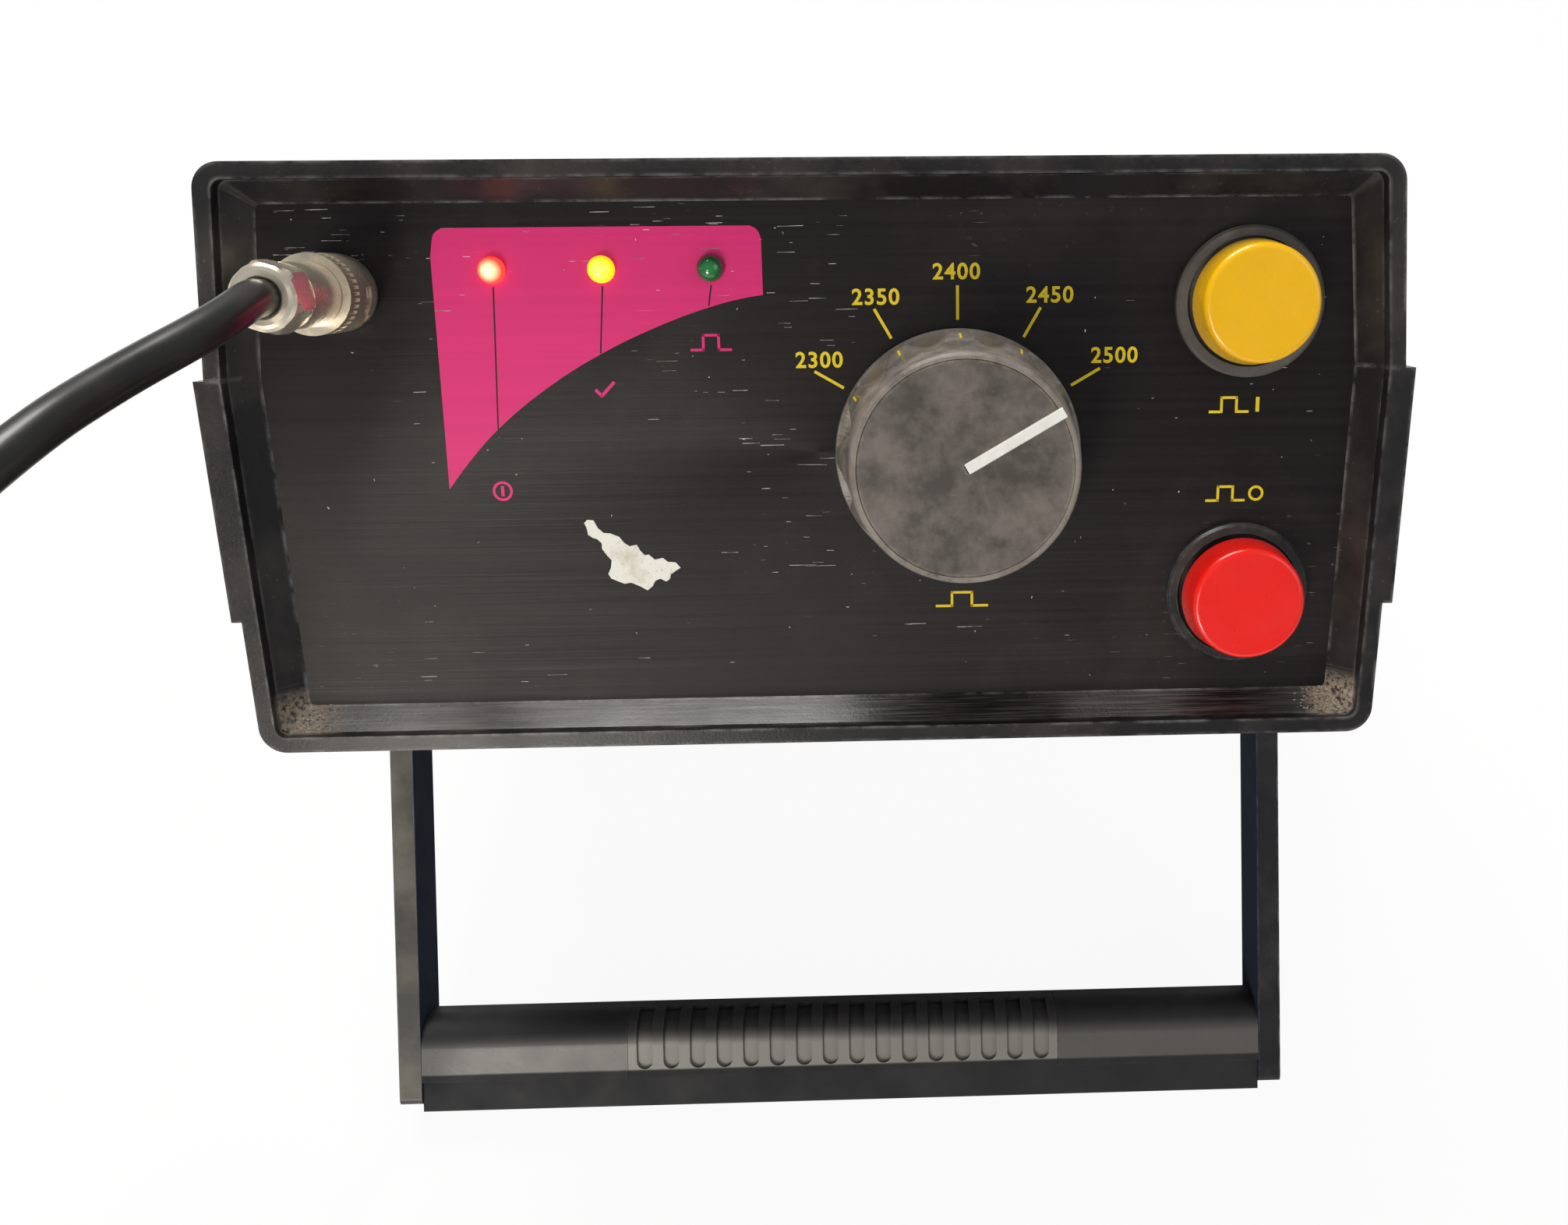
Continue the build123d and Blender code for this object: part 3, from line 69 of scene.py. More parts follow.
# Places on the front are (across, up) on the case's own axes.
PANEL_FACE = 0.008
DIAL = Vector((0.0270, 0.0553))
SOCKET = Vector((-0.0867, 0.0863))
LAMPS = {"led_red": -0.0587, "led_yellow": -0.0387, "led_green": -0.0187}
LAMP_HEIGHT = 0.090
KNOB_HEIGHT = 0.0236
NUT_INNER, NUT_OUTER = 0.0266, 0.0346
SCALE_ANGLE = 30  # degrees from one number of the scale to the next
HANDLE_LEAN = radians(12)

# Where a finish fades in, as (none, full) along one of the case's own axes.
SLOPE_UNDER_PANEL = (0.0125, 0.0095)
LEDGE_UNDER_PANEL = (0.0112, 0.0070)
BEFORE_PANEL = (0.0094, 0.0080)
BEHIND_RIM_EDGE = (0.0012, 0.0026)
RIGHT_END = (0.0955, 0.0985)
LEFT_END = (-0.092, -0.100)
RIM_TOP = (0.1070, 0.1086)
RIM_LEFT = (-0.1075, -0.1090)
ARM_INNER_SIDE = (0.1123, 0.1121)

# The same down the handle, measured from its pivot.
GRIP_BACK_EDGE = (0.1655, 0.1615)
GRIP_FLANGE = (0.1716, 0.1722)

PANEL_LINES = {"Along": 14.0, "Across": 2400.0}


# ---------------------------------------------------------------- settings


class CameraSettings(bpy.types.PropertyGroup):
    """Where the camera stands and how it looks down at the front."""

    place: FloatVectorProperty(
        name="Place",
        description="The camera's place",
        default=(0.0111, -0.25068, 0.39631),
        subtype="TRANSLATION",
        unit="LENGTH",
    )
    turn: FloatVectorProperty(
        name="Turn",
        description="The camera's turn",
        default=(radians(35.540), radians(-0.923), radians(-1.864)),
        subtype="EULER",
        unit="ROTATION",
    )
    focal_length: FloatProperty(
        name="Focal Length", description="In millimetres on a 36 mm sensor", default=32.2, min=10, max=200
    )
    shift: FloatVectorProperty(
        name="Shift", description="The lens shift, in sensor widths", default=(-0.0883, -0.0063), size=2
    )


class CableSettings(bpy.types.PropertyGroup):
    """The output cable."""

    diameter: FloatProperty(
        name="Diameter", description="Over the jacket", default=0.0062, min=0.002, max=0.02, unit="LENGTH"
    )
    length: FloatProperty(
        name="Length", description="From the coupling nut to the end plug", default=1.05, min=0.3, max=3, unit="LENGTH"
    )
    coil_radius: FloatProperty(
        name="Coil Radius", description="To the middle of the cable", default=0.0366, min=0.02, max=0.2, unit="LENGTH"
    )
    coil_turns: FloatProperty(name="Coil Turns", description="Turns of the spare length", default=2.5, min=1, max=8)
    points_per_turn: IntProperty(
        name="Points per Turn", description="Route points in one turn of the coil", default=16, min=12, max=32
    )
    jacket: FloatVectorProperty(
        name="Jacket", description="Jacket colour", default=(0.010, 0.009, 0.008), size=3, subtype="COLOR", min=0, max=1
    )


class PrintSettings(bpy.types.PropertyGroup):
    """The printing on the front panel."""

    yellow: FloatVectorProperty(
        name="Yellow", description="Scale and symbol ink", default=(0.80, 0.60, 0.02), size=3, subtype="COLOR", min=0,
        max=1,
    )
    magenta: FloatVectorProperty(
        name="Magenta", description="Lamp field ink", default=(0.70, 0.022, 0.175), size=3, subtype="COLOR", min=0,
        max=1,
    )
    black: FloatVectorProperty(
        name="Black", description="Leader line ink", default=(0.012, 0.008, 0.010), size=3, subtype="COLOR", min=0,
        max=1,
    )
    film: FloatProperty(
        name="Film", description="Thickness of the ink", default=0.00003, min=0.00001, max=0.0005, unit="LENGTH"
    )
    numeral_size: FloatProperty(
        name="Numeral Size", description="Height of the text body", default=0.0041, min=0.001, max=0.02, unit="LENGTH"
    )
    tick_width: FloatProperty(
        name="Tick Width", description="Width of the scale marks", default=0.00055, min=0.0001, max=0.003, unit="LENGTH"
    )
    tick_inner: FloatProperty(
        name="Tick Inner Radius", description="Where the scale marks start", default=0.0249, min=0.01, max=0.05,
        unit="LENGTH",
    )
    tick_outer: FloatProperty(
        name="Tick Outer Radius", description="Where the scale marks end", default=0.0312, min=0.01, max=0.05,
        unit="LENGTH",
    )
    leader_width: FloatProperty(
        name="Leader Width", description="Width of the lamps' leader lines", default=0.00028, min=0.0001, max=0.002,
        unit="LENGTH",
    )
    scale_start: IntProperty(name="Scale Start", description="First number of the scale", default=2300, min=0, max=9999)
    scale_step: IntProperty(
        name="Scale Step", description="Step from one number to the next", default=50, min=1, max=1000
    )


class FinishSettings(bpy.types.PropertyGroup):
    """Colours of the finishes."""

    case: FloatVectorProperty(
        name="Case", description="Moulded case", default=(0.011, 0.010, 0.011), size=3, subtype="COLOR", min=0, max=1
    )
    panel: FloatVectorProperty(
        name="Panel", description="Anodised panel", default=(0.0085, 0.0066, 0.0068), size=3, subtype="COLOR", min=0,
        max=1,
    )
    handle: FloatVectorProperty(
        name="Handle", description="Handle arms", default=(0.010, 0.010, 0.012), size=3, subtype="COLOR", min=0, max=1
    )
    grip: FloatVectorProperty(
        name="Grip", description="Grip sleeves", default=(0.022, 0.022, 0.024), size=3, subtype="COLOR", min=0, max=1
    )
    rubber: FloatVectorProperty(
        name="Grip Insert", description="Ribbed grip insert", default=(0.040, 0.036, 0.035), size=3, subtype="COLOR",
        min=0, max=1,
    )
    knob: FloatVectorProperty(
        name="Knob", description="Knob", default=(0.085, 0.072, 0.062), size=3, subtype="COLOR", min=0, max=1
    )
    start: FloatVectorProperty(
        name="Start Button", description="Start button", default=(0.86, 0.47, 0.0), size=3, subtype="COLOR", min=0,
        max=1,
    )
    stop: FloatVectorProperty(
        name="Stop Button", description="Stop button", default=(0.84, 0.010, 0.005), size=3, subtype="COLOR", min=0,
        max=1,
    )
    dust: FloatVectorProperty(
        name="Dust", description="Dust and dried dirt", default=(0.36, 0.31, 0.25), size=3, subtype="COLOR", min=0,
        max=1,
    )
    scuff: FloatVectorProperty(
        name="Scuffs", description="Scuffed plastic", default=(0.20, 0.20, 0.20), size=3, subtype="COLOR", min=0, max=1
    )
    nickel: FloatVectorProperty(
        name="Nickel", description="Nickel plating", default=(0.86, 0.77, 0.61), size=3, subtype="COLOR", min=0, max=1
    )


class ControlSettings(bpy.types.PropertyGroup):
    """The pointer line on the knob."""

    pointer_width: FloatProperty(
        name="Pointer Width", description="Across the white line", default=0.0020, min=0.0005, max=0.005, unit="LENGTH"
    )
    pointer_thickness: FloatProperty(
        name="Pointer Thickness", description="Of the white line", default=0.0007, min=0.0002, max=0.003, unit="LENGTH"
    )
    pointer_tail: FloatProperty(
        name="Pointer Tail", description="How far it starts behind the knob's centre", default=-0.0002, min=-0.01,
        max=0.01, unit="LENGTH",
    )
    pointer_reach: FloatProperty(
        name="Pointer Reach", description="How far it runs out from the knob's centre", default=0.0200, min=0.005,
        max=0.04, unit="LENGTH",
    )


class StageSettings(bpy.types.PropertyGroup):
    """The bench and the light."""

    floor: FloatVectorProperty(
        name="Bench", description="Bench colour", default=(0.80, 0.80, 0.80), size=3, subtype="COLOR", min=0, max=1
    )
    size: FloatProperty(name="Size", description="Edge of the bench", default=8.0, min=1, max=50, unit="LENGTH")
    world_level: FloatProperty(name="Room Light", description="Strength of the even light", default=0.32, min=0, max=3)
    key_power: FloatProperty(
        name="Key Power", description="Power of the high lamp behind, in watts", default=16.0, min=0, max=500
    )
    front_power: FloatProperty(
        name="Front Power", description="Power of the low front lamp, in watts", default=4.4, min=0, max=500
    )
    side_power: FloatProperty(
        name="Side Power", description="Power of the small lamp at the left, in watts", default=1.3, min=0, max=500
    )
    fill_power: FloatProperty(
        name="Fill Power", description="Power of the soft lamp at the right, in watts", default=2.5, min=0, max=500
    )


def settings(context, name):
    return getattr(context.scene, "electroporator_" + name)


# ------------------------------------------------------------ node helpers


class Tree:
    """A node tree, with short ways to add what the finishes are made of."""

    def __init__(self, tree):
        self.tree = tree

    def feed(self, target, value):
        """Links a socket to the target, or sets a plain value."""
        if isinstance(value, bpy.types.NodeSocket):
            self.tree.links.new(value, target)
        else:
            target.default_value = value

    def put(self, kind, inputs=None, **attributes):
        """Adds a node, sets its attributes and feeds its sockets."""
        node = self.tree.nodes.new(kind)
        for name, value in attributes.items():
            setattr(node, name, value)
        for name, value in (inputs or {}).items():
            self.feed(node.inputs[name], value)
        return node

    def calculate(self, operation, first, second=0.0, clamp=False):
        inputs = {0: first, 1: second}
        return self.put("ShaderNodeMath", inputs, operation=operation, use_clamp=clamp).outputs[0]

    def times(self, first, second, clamp=False):
        return self.calculate("MULTIPLY", first, second, clamp)

    def ramp(self, value, low, high, from_value=0.0, to_value=1.0):
        """Maps low to high onto from_value to to_value, held at both ends."""
        inputs = {"Value": value, "From Min": low, "From Max": high, "To Min": from_value, "To Max": to_value}
        return self.put("ShaderNodeMapRange", inputs, clamp=True).outputs["Result"]

    def blend(self, factor, first, second):
        """Mixes two colours, each a socket or three channels."""
        node = self.put("ShaderNodeMix", {0: factor}, data_type="RGBA")
        for place, colour in ((6, first), (7, second)):
            self.feed(node.inputs[place], colour if isinstance(colour, bpy.types.NodeSocket) else (*colour, 1))
        return node.outputs[2]

    def noise(self, vector, scale, detail=4.0, roughness=0.55):
        inputs = {"Vector": vector, "Scale": scale, "Detail": detail, "Roughness": roughness}
        return self.put("ShaderNodeTexNoise", inputs).outputs["Fac"]

    def split(self, vector):
        """The X, Y and Z of a vector."""
        return self.put("ShaderNodeSeparateXYZ", {0: vector}).outputs

    def vector_math(self, operation, *inputs):
        return self.put("ShaderNodeVectorMath", dict(enumerate(inputs)), operation=operation).outputs

    def length(self, vector):
        return self.vector_math("LENGTH", vector)["Value"]


def open_nodes(holder):
    """Clears the nodes of a material or a world."""
    holder.use_nodes = True
    holder.node_tree.nodes.clear()
    return Tree(holder.node_tree)


def scaled(colour, share):
    return tuple(channel * share for channel in colour)


def begin_group(name, inputs, outputs=("Mask",)):
    """Starts a shared effect with a Vector and the inputs that a material can change."""
    group = bpy.data.node_groups.new(name, "ShaderNodeTree")
    group.interface.new_socket("Vector", in_out="INPUT", socket_type="NodeSocketVector")
    for title, default in inputs.items():
        socket = group.interface.new_socket(title, in_out="INPUT", socket_type="NodeSocketFloat")
        socket.default_value = default
    for title in outputs:
        group.interface.new_socket(title, in_out="OUTPUT", socket_type="NodeSocketFloat")
    nodes = Tree(group)
    return nodes, nodes.put("NodeGroupInput").outputs, nodes.put("NodeGroupOutput").inputs


def make_edge_wear():
    """Where a corner is rubbed: the bent normal near an edge, broken up by noise."""
    nodes, given, wanted = begin_group("Edge Wear", {"Radius": 0.0008, "Breakup": 260.0, "Amount": 0.6})
    bent = nodes.put("ShaderNodeBevel", {"Radius": given["Radius"]}, samples=4)
    flat = nodes.put("ShaderNodeNewGeometry")
    edge = nodes.ramp(
        nodes.vector_math("DOT_PRODUCT", bent.outputs["Normal"], flat.outputs["Normal"])["Value"], 0.995, 0.90
    )
    broken = nodes.ramp(nodes.noise(given["Vector"], given["Breakup"], 5.0, 0.65), 0.42, 0.62)
    nodes.feed(wanted["Mask"], nodes.times(nodes.times(edge, broken), given["Amount"], clamp=True))
    return nodes.tree


def make_dust():
    """Settled dust in soft patches and specks."""
    nodes, given, wanted = begin_group("Dust", {"Patches": 30.0, "Specks": 900.0, "Amount": 0.3})
    soft = nodes.noise(given["Vector"], given["Patches"], 6.0, 0.6)
    fine = nodes.put("ShaderNodeTexVoronoi", {"Vector": given["Vector"], "Scale": given["Specks"]}, feature="F1")
    speck = nodes.ramp(fine.outputs["Distance"], 0.16, 0.05)
    film = nodes.ramp(soft, 0.48, 0.78)
    thin_film = nodes.times(film, 0.6)
    more_on_film = nodes.calculate("ADD", film, 0.15)
    both = nodes.calculate("ADD", thin_film, nodes.times(speck, more_on_film), clamp=True)
    nodes.feed(wanted["Mask"], nodes.times(both, given["Amount"], clamp=True))
    return nodes.tree


def stretch(nodes, given):
    """The Vector drawn out along X and packed close across Z."""
    parts = nodes.split(given["Vector"])
    along, across = nodes.times(parts["X"], given["Along"]), nodes.times(parts["Z"], given["Across"])
    return nodes.put("ShaderNodeCombineXYZ", {"X": along, "Z": across}).outputs[0]


def make_scratches():
    """Fine scratches that run mostly one way, broken off here and there."""
    nodes, given, wanted = begin_group("Scratches", {"Along": 18.0, "Across": 900.0, "Amount": 0.5})
    streak = nodes.noise(stretch(nodes, given), 1.0, 2.0, 0.5)
    where = nodes.noise(given["Vector"], 22.0, 3.0, 0.5)
    mask = nodes.times(nodes.ramp(streak, 0.69, 0.75), nodes.ramp(where, 0.50, 0.62))
    nodes.feed(wanted["Mask"], nodes.times(mask, given["Amount"], clamp=True))
    return nodes.tree


def make_brushing():
    """The lines of brushed metal along X, as a height and a tint."""
    nodes, given, wanted = begin_group("Brushing", {"Along": 12.0, "Across": 2600.0}, ("Height", "Tint"))
    lines = stretch(nodes, given)
    nodes.feed(wanted["Height"], nodes.noise(lines, 1.0, 3.0, 0.7))
    nodes.feed(wanted["Tint"], nodes.ramp(nodes.noise(lines, 0.25, 2.0, 0.5), 0.35, 0.65))
    return nodes.tree


def make_moulding():
    """The fine eroded grain of a moulding tool, as a height."""
    nodes, given, wanted = begin_group("Moulded Grain", {"Grain": 2200.0}, ("Height",))
    nodes.feed(wanted["Height"], nodes.noise(given["Vector"], given["Grain"], 2.0, 0.6))
    return nodes.tree


effects = {}


class Finish(Tree):
    """A material with its Principled shader, and Object coordinates turned to the case's own axes."""

    def __init__(self, name, colour, roughness, metallic=0.0, **sockets):
        self.material = bpy.data.materials.new(name)
        super().__init__(open_nodes(self.material).tree)
        output = self.put("ShaderNodeOutputMaterial")
        shader = self.put("ShaderNodeBsdfPrincipled")
        self.sockets = shader.inputs
        self.set(Base_Color=(*colour, 1), Roughness=roughness, Metallic=metallic, **sockets)
        self.feed(output.inputs[0], shader.outputs[0])
        place = self.put("ShaderNodeTexCoord")
        back = case_place.inverted()
        self.vector = self.moved(place.outputs["Object"], back.translation, back.to_euler())

    def set(self, **sockets):
        """Feeds the shader's own sockets, named with underscores for spaces."""
        for title, value in sockets.items():
            self.feed(self.sockets[title.replace("_", " ")], value)

    def moved(self, vector, place, turn=(0, 0, 0)):
        inputs = {"Location": place, "Rotation": turn, "Vector": vector}
        return self.put("ShaderNodeMapping", inputs, vector_type="POINT").outputs["Vector"]

    def cloud(self, scale, detail=4.0, roughness=0.55):
        """Noise over the surface."""
        return self.noise(self.vector, scale, detail, roughness)

    def effect(self, name, **values):
        """Places a shared effect and gives its own values."""
        return self.put("ShaderNodeGroup", {"Vector": self.vector, **values}, node_tree=effects[name]).outputs

    def mask(self, name, **values):
        return self.effect(name, **values)["Mask"]

    def bump(self, height, strength, distance=0.0001):
        node = self.put("ShaderNodeBump", {"Strength": strength, "Distance": distance, "Height": height})
        self.set(Normal=node.outputs[0])

    def give(self, *names):
        """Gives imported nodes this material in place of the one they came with."""
        for name in names:
            held = frame["nodes"][name].data.materials
            held.clear()
            held.append(self.material)


# ------------------------------------------------------------ mesh helpers

panel_place = case_place @ Matrix.Translation((0, PANEL_FACE, 0)) @ Matrix.Rotation(radians(90), 4, "X")


def keep_piece(name, mesh, body, material):
    """Adds a finished mesh as a piece that rides on a body."""
    piece = bpy.data.objects.new(name, mesh)
    bpy.context.scene.collection.objects.link(piece)
    mesh.materials.clear()
    mesh.materials.append(material)
    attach(piece, body)
    return piece


def mesh_from(name, shape):
    mesh = bpy.data.meshes.new(name)
    bmesh.ops.recalc_face_normals(shape, faces=shape.faces)
    shape.to_mesh(mesh)
    shape.free()
    return mesh


def add_bar(shape, start, end, width, thickness, lift=0.0):
    """A thin bar of print from start to end, in panel coordinates."""
    along = Vector(end) - Vector(start)
    middle = (Vector(start) + Vector(end)) / 2
    made = bmesh.ops.create_cube(shape, size=1.0)
    bmesh.ops.scale(shape, vec=(along.length, width, thickness), verts=made["verts"])
    turn = Matrix.Rotation(along.to_2d().angle_signed(Vector((1, 0)), 0.0), 3, "Z")
    bmesh.ops.rotate(shape, cent=(0, 0, 0), matrix=turn, verts=made["verts"])
    bmesh.ops.translate(shape, vec=(middle.x, middle.y, lift + thickness / 2), verts=made["verts"])
    return made["verts"]


def add_ring(shape, centre, radius, width, thickness):
    """A thin printed ring, in panel coordinates."""
    made = bmesh.ops.create_circle(shape, segments=48, radius=radius)
    edges = [edge for edge in shape.edges if all(vert in made["verts"] for vert in edge.verts)]
    wider = bmesh.ops.extrude_edge_only(shape, edges=edges)["geom"]
    outer = [item for item in wider if isinstance(item, bmesh.types.BMVert)]
    factor = (radius - width) / radius
    bmesh.ops.scale(shape, vec=(factor, factor, 1), verts=outer)
    faces = [item for item in wider if isinstance(item, bmesh.types.BMFace)]
    raised = bmesh.ops.extrude_face_region(shape, geom=faces)["geom"]
    top = [item for item in raised if isinstance(item, bmesh.types.BMVert)]
    bmesh.ops.translate(shape, vec=(0, 0, thickness), verts=top)
    bmesh.ops.translate(shape, vec=(*centre, 0), verts=list(made["verts"]) + outer + top)


def add_turned(shape, rings, segments=72, reshape=None):
    """Faces through rings of (radius, height) about Z. reshape(turn, radius, height) gives a ring that isn't round."""
    made = bmesh.ops.create_circle(shape, segments=segments, radius=1.0)
    verts = set(made["verts"])
    edges = list({edge for vert in verts for edge in vert.link_edges})
    for place, (radius, height) in enumerate(rings):
        if place:
            grown = bmesh.ops.extrude_edge_only(shape, edges=edges)["geom"]
            verts = {item for item in grown if isinstance(item, bmesh.types.BMVert)}
            edges = [item for item in grown if isinstance(item, bmesh.types.BMEdge) and verts.issuperset(item.verts)]
        for vert in verts:
            turn = atan2(vert.co.y, vert.co.x)
            reach = reshape(turn, radius, height) if reshape else radius
            vert.co = (reach * cos(turn), reach * sin(turn), height)
    bmesh.ops.remove_doubles(shape, verts=shape.verts, dist=0.000001)


def keep_shape(name, shape, place, body, material):
    """Moves a finished shape to its place and adds it as a piece."""
    bmesh.ops.transform(shape, matrix=place, verts=shape.verts)
    return keep_piece(name, mesh_from(name, shape), body, material)


def keep_print(name, shape, ink):
    """Adds a finished print, drawn in panel coordinates."""
    return keep_shape(name, shape, panel_place, "case", ink)


def flat_mesh(name, curve, place):
    """Turns a flat filled curve or text into a mesh at its place."""
    holder = bpy.data.objects.new(name, curve)
    bpy.context.scene.collection.objects.link(holder)
    bpy.context.view_layer.update()
    mesh = bpy.data.meshes.new_from_object(holder.evaluated_get(bpy.context.evaluated_depsgraph_get()))
    bpy.data.objects.remove(holder)
    mesh.transform(place)
    mesh.name = name
    return mesh


def outline_curve(name, points, thickness):
    """A flat filled outline. A point is (x, y, handle), and the handle is VECTOR or AUTO."""
    curve = bpy.data.curves.new(name, "CURVE")
    curve.dimensions = "2D"
    curve.fill_mode = "BOTH"
    curve.extrude = thickness / 2
    curve.resolution_u = 12
    spline = curve.splines.new("BEZIER")
    spline.bezier_points.add(len(points) - 1)
    for bezier, (x, y, handle) in zip(spline.bezier_points, points):
        bezier.co = (x, y, 0)
        bezier.handle_left_type = bezier.handle_right_type = handle
    spline.use_cyclic_u = True
    return curve


def words_curve(name, words, size, thickness):
    curve = bpy.data.curves.new(name, "FONT")
    curve.body = words
    curve.size = size
    curve.extrude = thickness / 2
    curve.offset = size * 0.022
    curve.align_x = curve.align_y = "CENTER"
    curve.space_character = 1.12
    curve.resolution_u = 6
    return curve


# ---------------------------------------------------------------- operators


class ELECTROPORATOR_OT_effects(bpy.types.Operator):
    """Builds the shared effects that the materials place"""

    bl_idname = "electroporator.effects"
    bl_label = "Shared Effects"

    def execute(self, context):
        effects["wear"] = make_edge_wear()
        effects["dust"] = make_dust()
        effects["scratches"] = make_scratches()
        effects["brushing"] = make_brushing()
        effects["moulding"] = make_moulding()
        return {"FINISHED"}


class ELECTROPORATOR_OT_camera(bpy.types.Operator):
    """Sets up the camera that looks down at the front"""

    bl_idname = "electroporator.camera"
    bl_label = "Camera"

    def execute(self, context):
        wanted = settings(context, "camera")
        lens = bpy.data.cameras.new("camera")
        lens.sensor_fit = "AUTO"
        lens.sensor_width = 36
        lens.lens = wanted.focal_length
        lens.shift_x, lens.shift_y = wanted.shift
        lens.clip_start, lens.clip_end = 0.01, 50
        camera = bpy.data.objects.new("camera", lens)
        camera.location = wanted.place
        camera.rotation_euler = wanted.turn
        context.scene.collection.objects.link(camera)
        context.scene.camera = camera
        return {"FINISHED"}


class ELECTROPORATOR_OT_cable(bpy.types.Operator):
    """Lays the output cable from the coupling nut to its coil and end plug"""

    bl_idname = "electroporator.cable"
    bl_label = "Output Cable"

    def execute(self, context):
        wanted = settings(context, "cable")
        radius = wanted.diameter / 2
        inside_nut, nut_end, past_nut = (
            case_place @ Vector((SOCKET.x, depth - NUT_INNER, SOCKET.y)) for depth in (0.0065, 0.0, -0.0034)
        )
        route = [
            inside_nut,
            nut_end,
            past_nut,
            (-0.0876, -0.0915, 0.2477),
            (-0.0951, -0.1070, 0.2526),
            (-0.0996, -0.1250, 0.2593),
            (-0.1110, -0.1600, 0.2640),
            (-0.1270, -0.1860, 0.2560),
            (-0.1390, -0.2060, 0.2320),
            (-0.1430, -0.2140, 0.1900),
            (-0.1410, -0.2150, 0.1400),
            (-0.1340, -0.2090, 0.0900),
            (-0.1310, -0.1990, 0.0500),
            (-0.1340, -0.1900, 0.0200),
            (-0.1500, -0.1858, 0.0048),
        ]
        coil = Vector((-0.170, -0.222))
        per_turn = wanted.points_per_turn
        layer = wanted.diameter + 0.0003
        for step in range(int(wanted.coil_turns * per_turn) + 1):
            turns = step / per_turn
            whole = int(turns)
            climb = max(0.0, (turns - whole - 0.80) / 0.20)
            swell = 0.0008 * sin(2.3 * turns + 0.6)
            turn = 2 * pi * turns + pi / 2
            at = coil + (wanted.coil_radius + swell) * Vector((cos(turn), sin(turn)))
            route.append((at.x, at.y, radius + layer * (whole + climb)))
        route += [
            (-0.1500, -0.2582, 0.0135),
            (-0.1340, -0.2580, 0.0085),
            (-0.1180, -0.2580, 0.0070),
            (-0.1010, -0.2580, 0.0070),
            (-0.0960, -0.2580, 0.0070),
        ]
        curve = bpy.data.curves.new("output_cable", "CURVE")
        curve.dimensions = "3D"
        curve.bevel_depth = radius
        curve.bevel_resolution = 6
        curve.resolution_u = 10
        curve.use_fill_caps = True
        line = curve.splines.new("NURBS")
        line.points.add(len(route) - 1)
        for point, place in zip(line.points, route):
            point.co = (*place, 1)
        line.order_u = 3
        line.use_endpoint_u = True
        cable = bpy.data.objects.new("output_cable", curve)
        context.scene.collection.objects.link(cable)

        finish = Finish("cable_jacket", wanted.jacket, 0.34, Coat_Weight=0.25, Coat_Roughness=0.2)
        dusty = finish.mask("dust", Patches=24.0, Specks=700.0, Amount=0.16)
        finish.set(Base_Color=finish.blend(dusty, wanted.jacket, settings(context, "finish").dust))
        finish.set(Roughness=finish.ramp(finish.cloud(90.0), 0.3, 0.7, 0.27, 0.42))
        finish.bump(finish.cloud(420.0, 2.0), 0.25)
        curve.materials.append(finish.material)
        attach(cable, "case")
        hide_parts("hv_cable", "cable_coil", "hv_cable_tail")
        return {"FINISHED"}


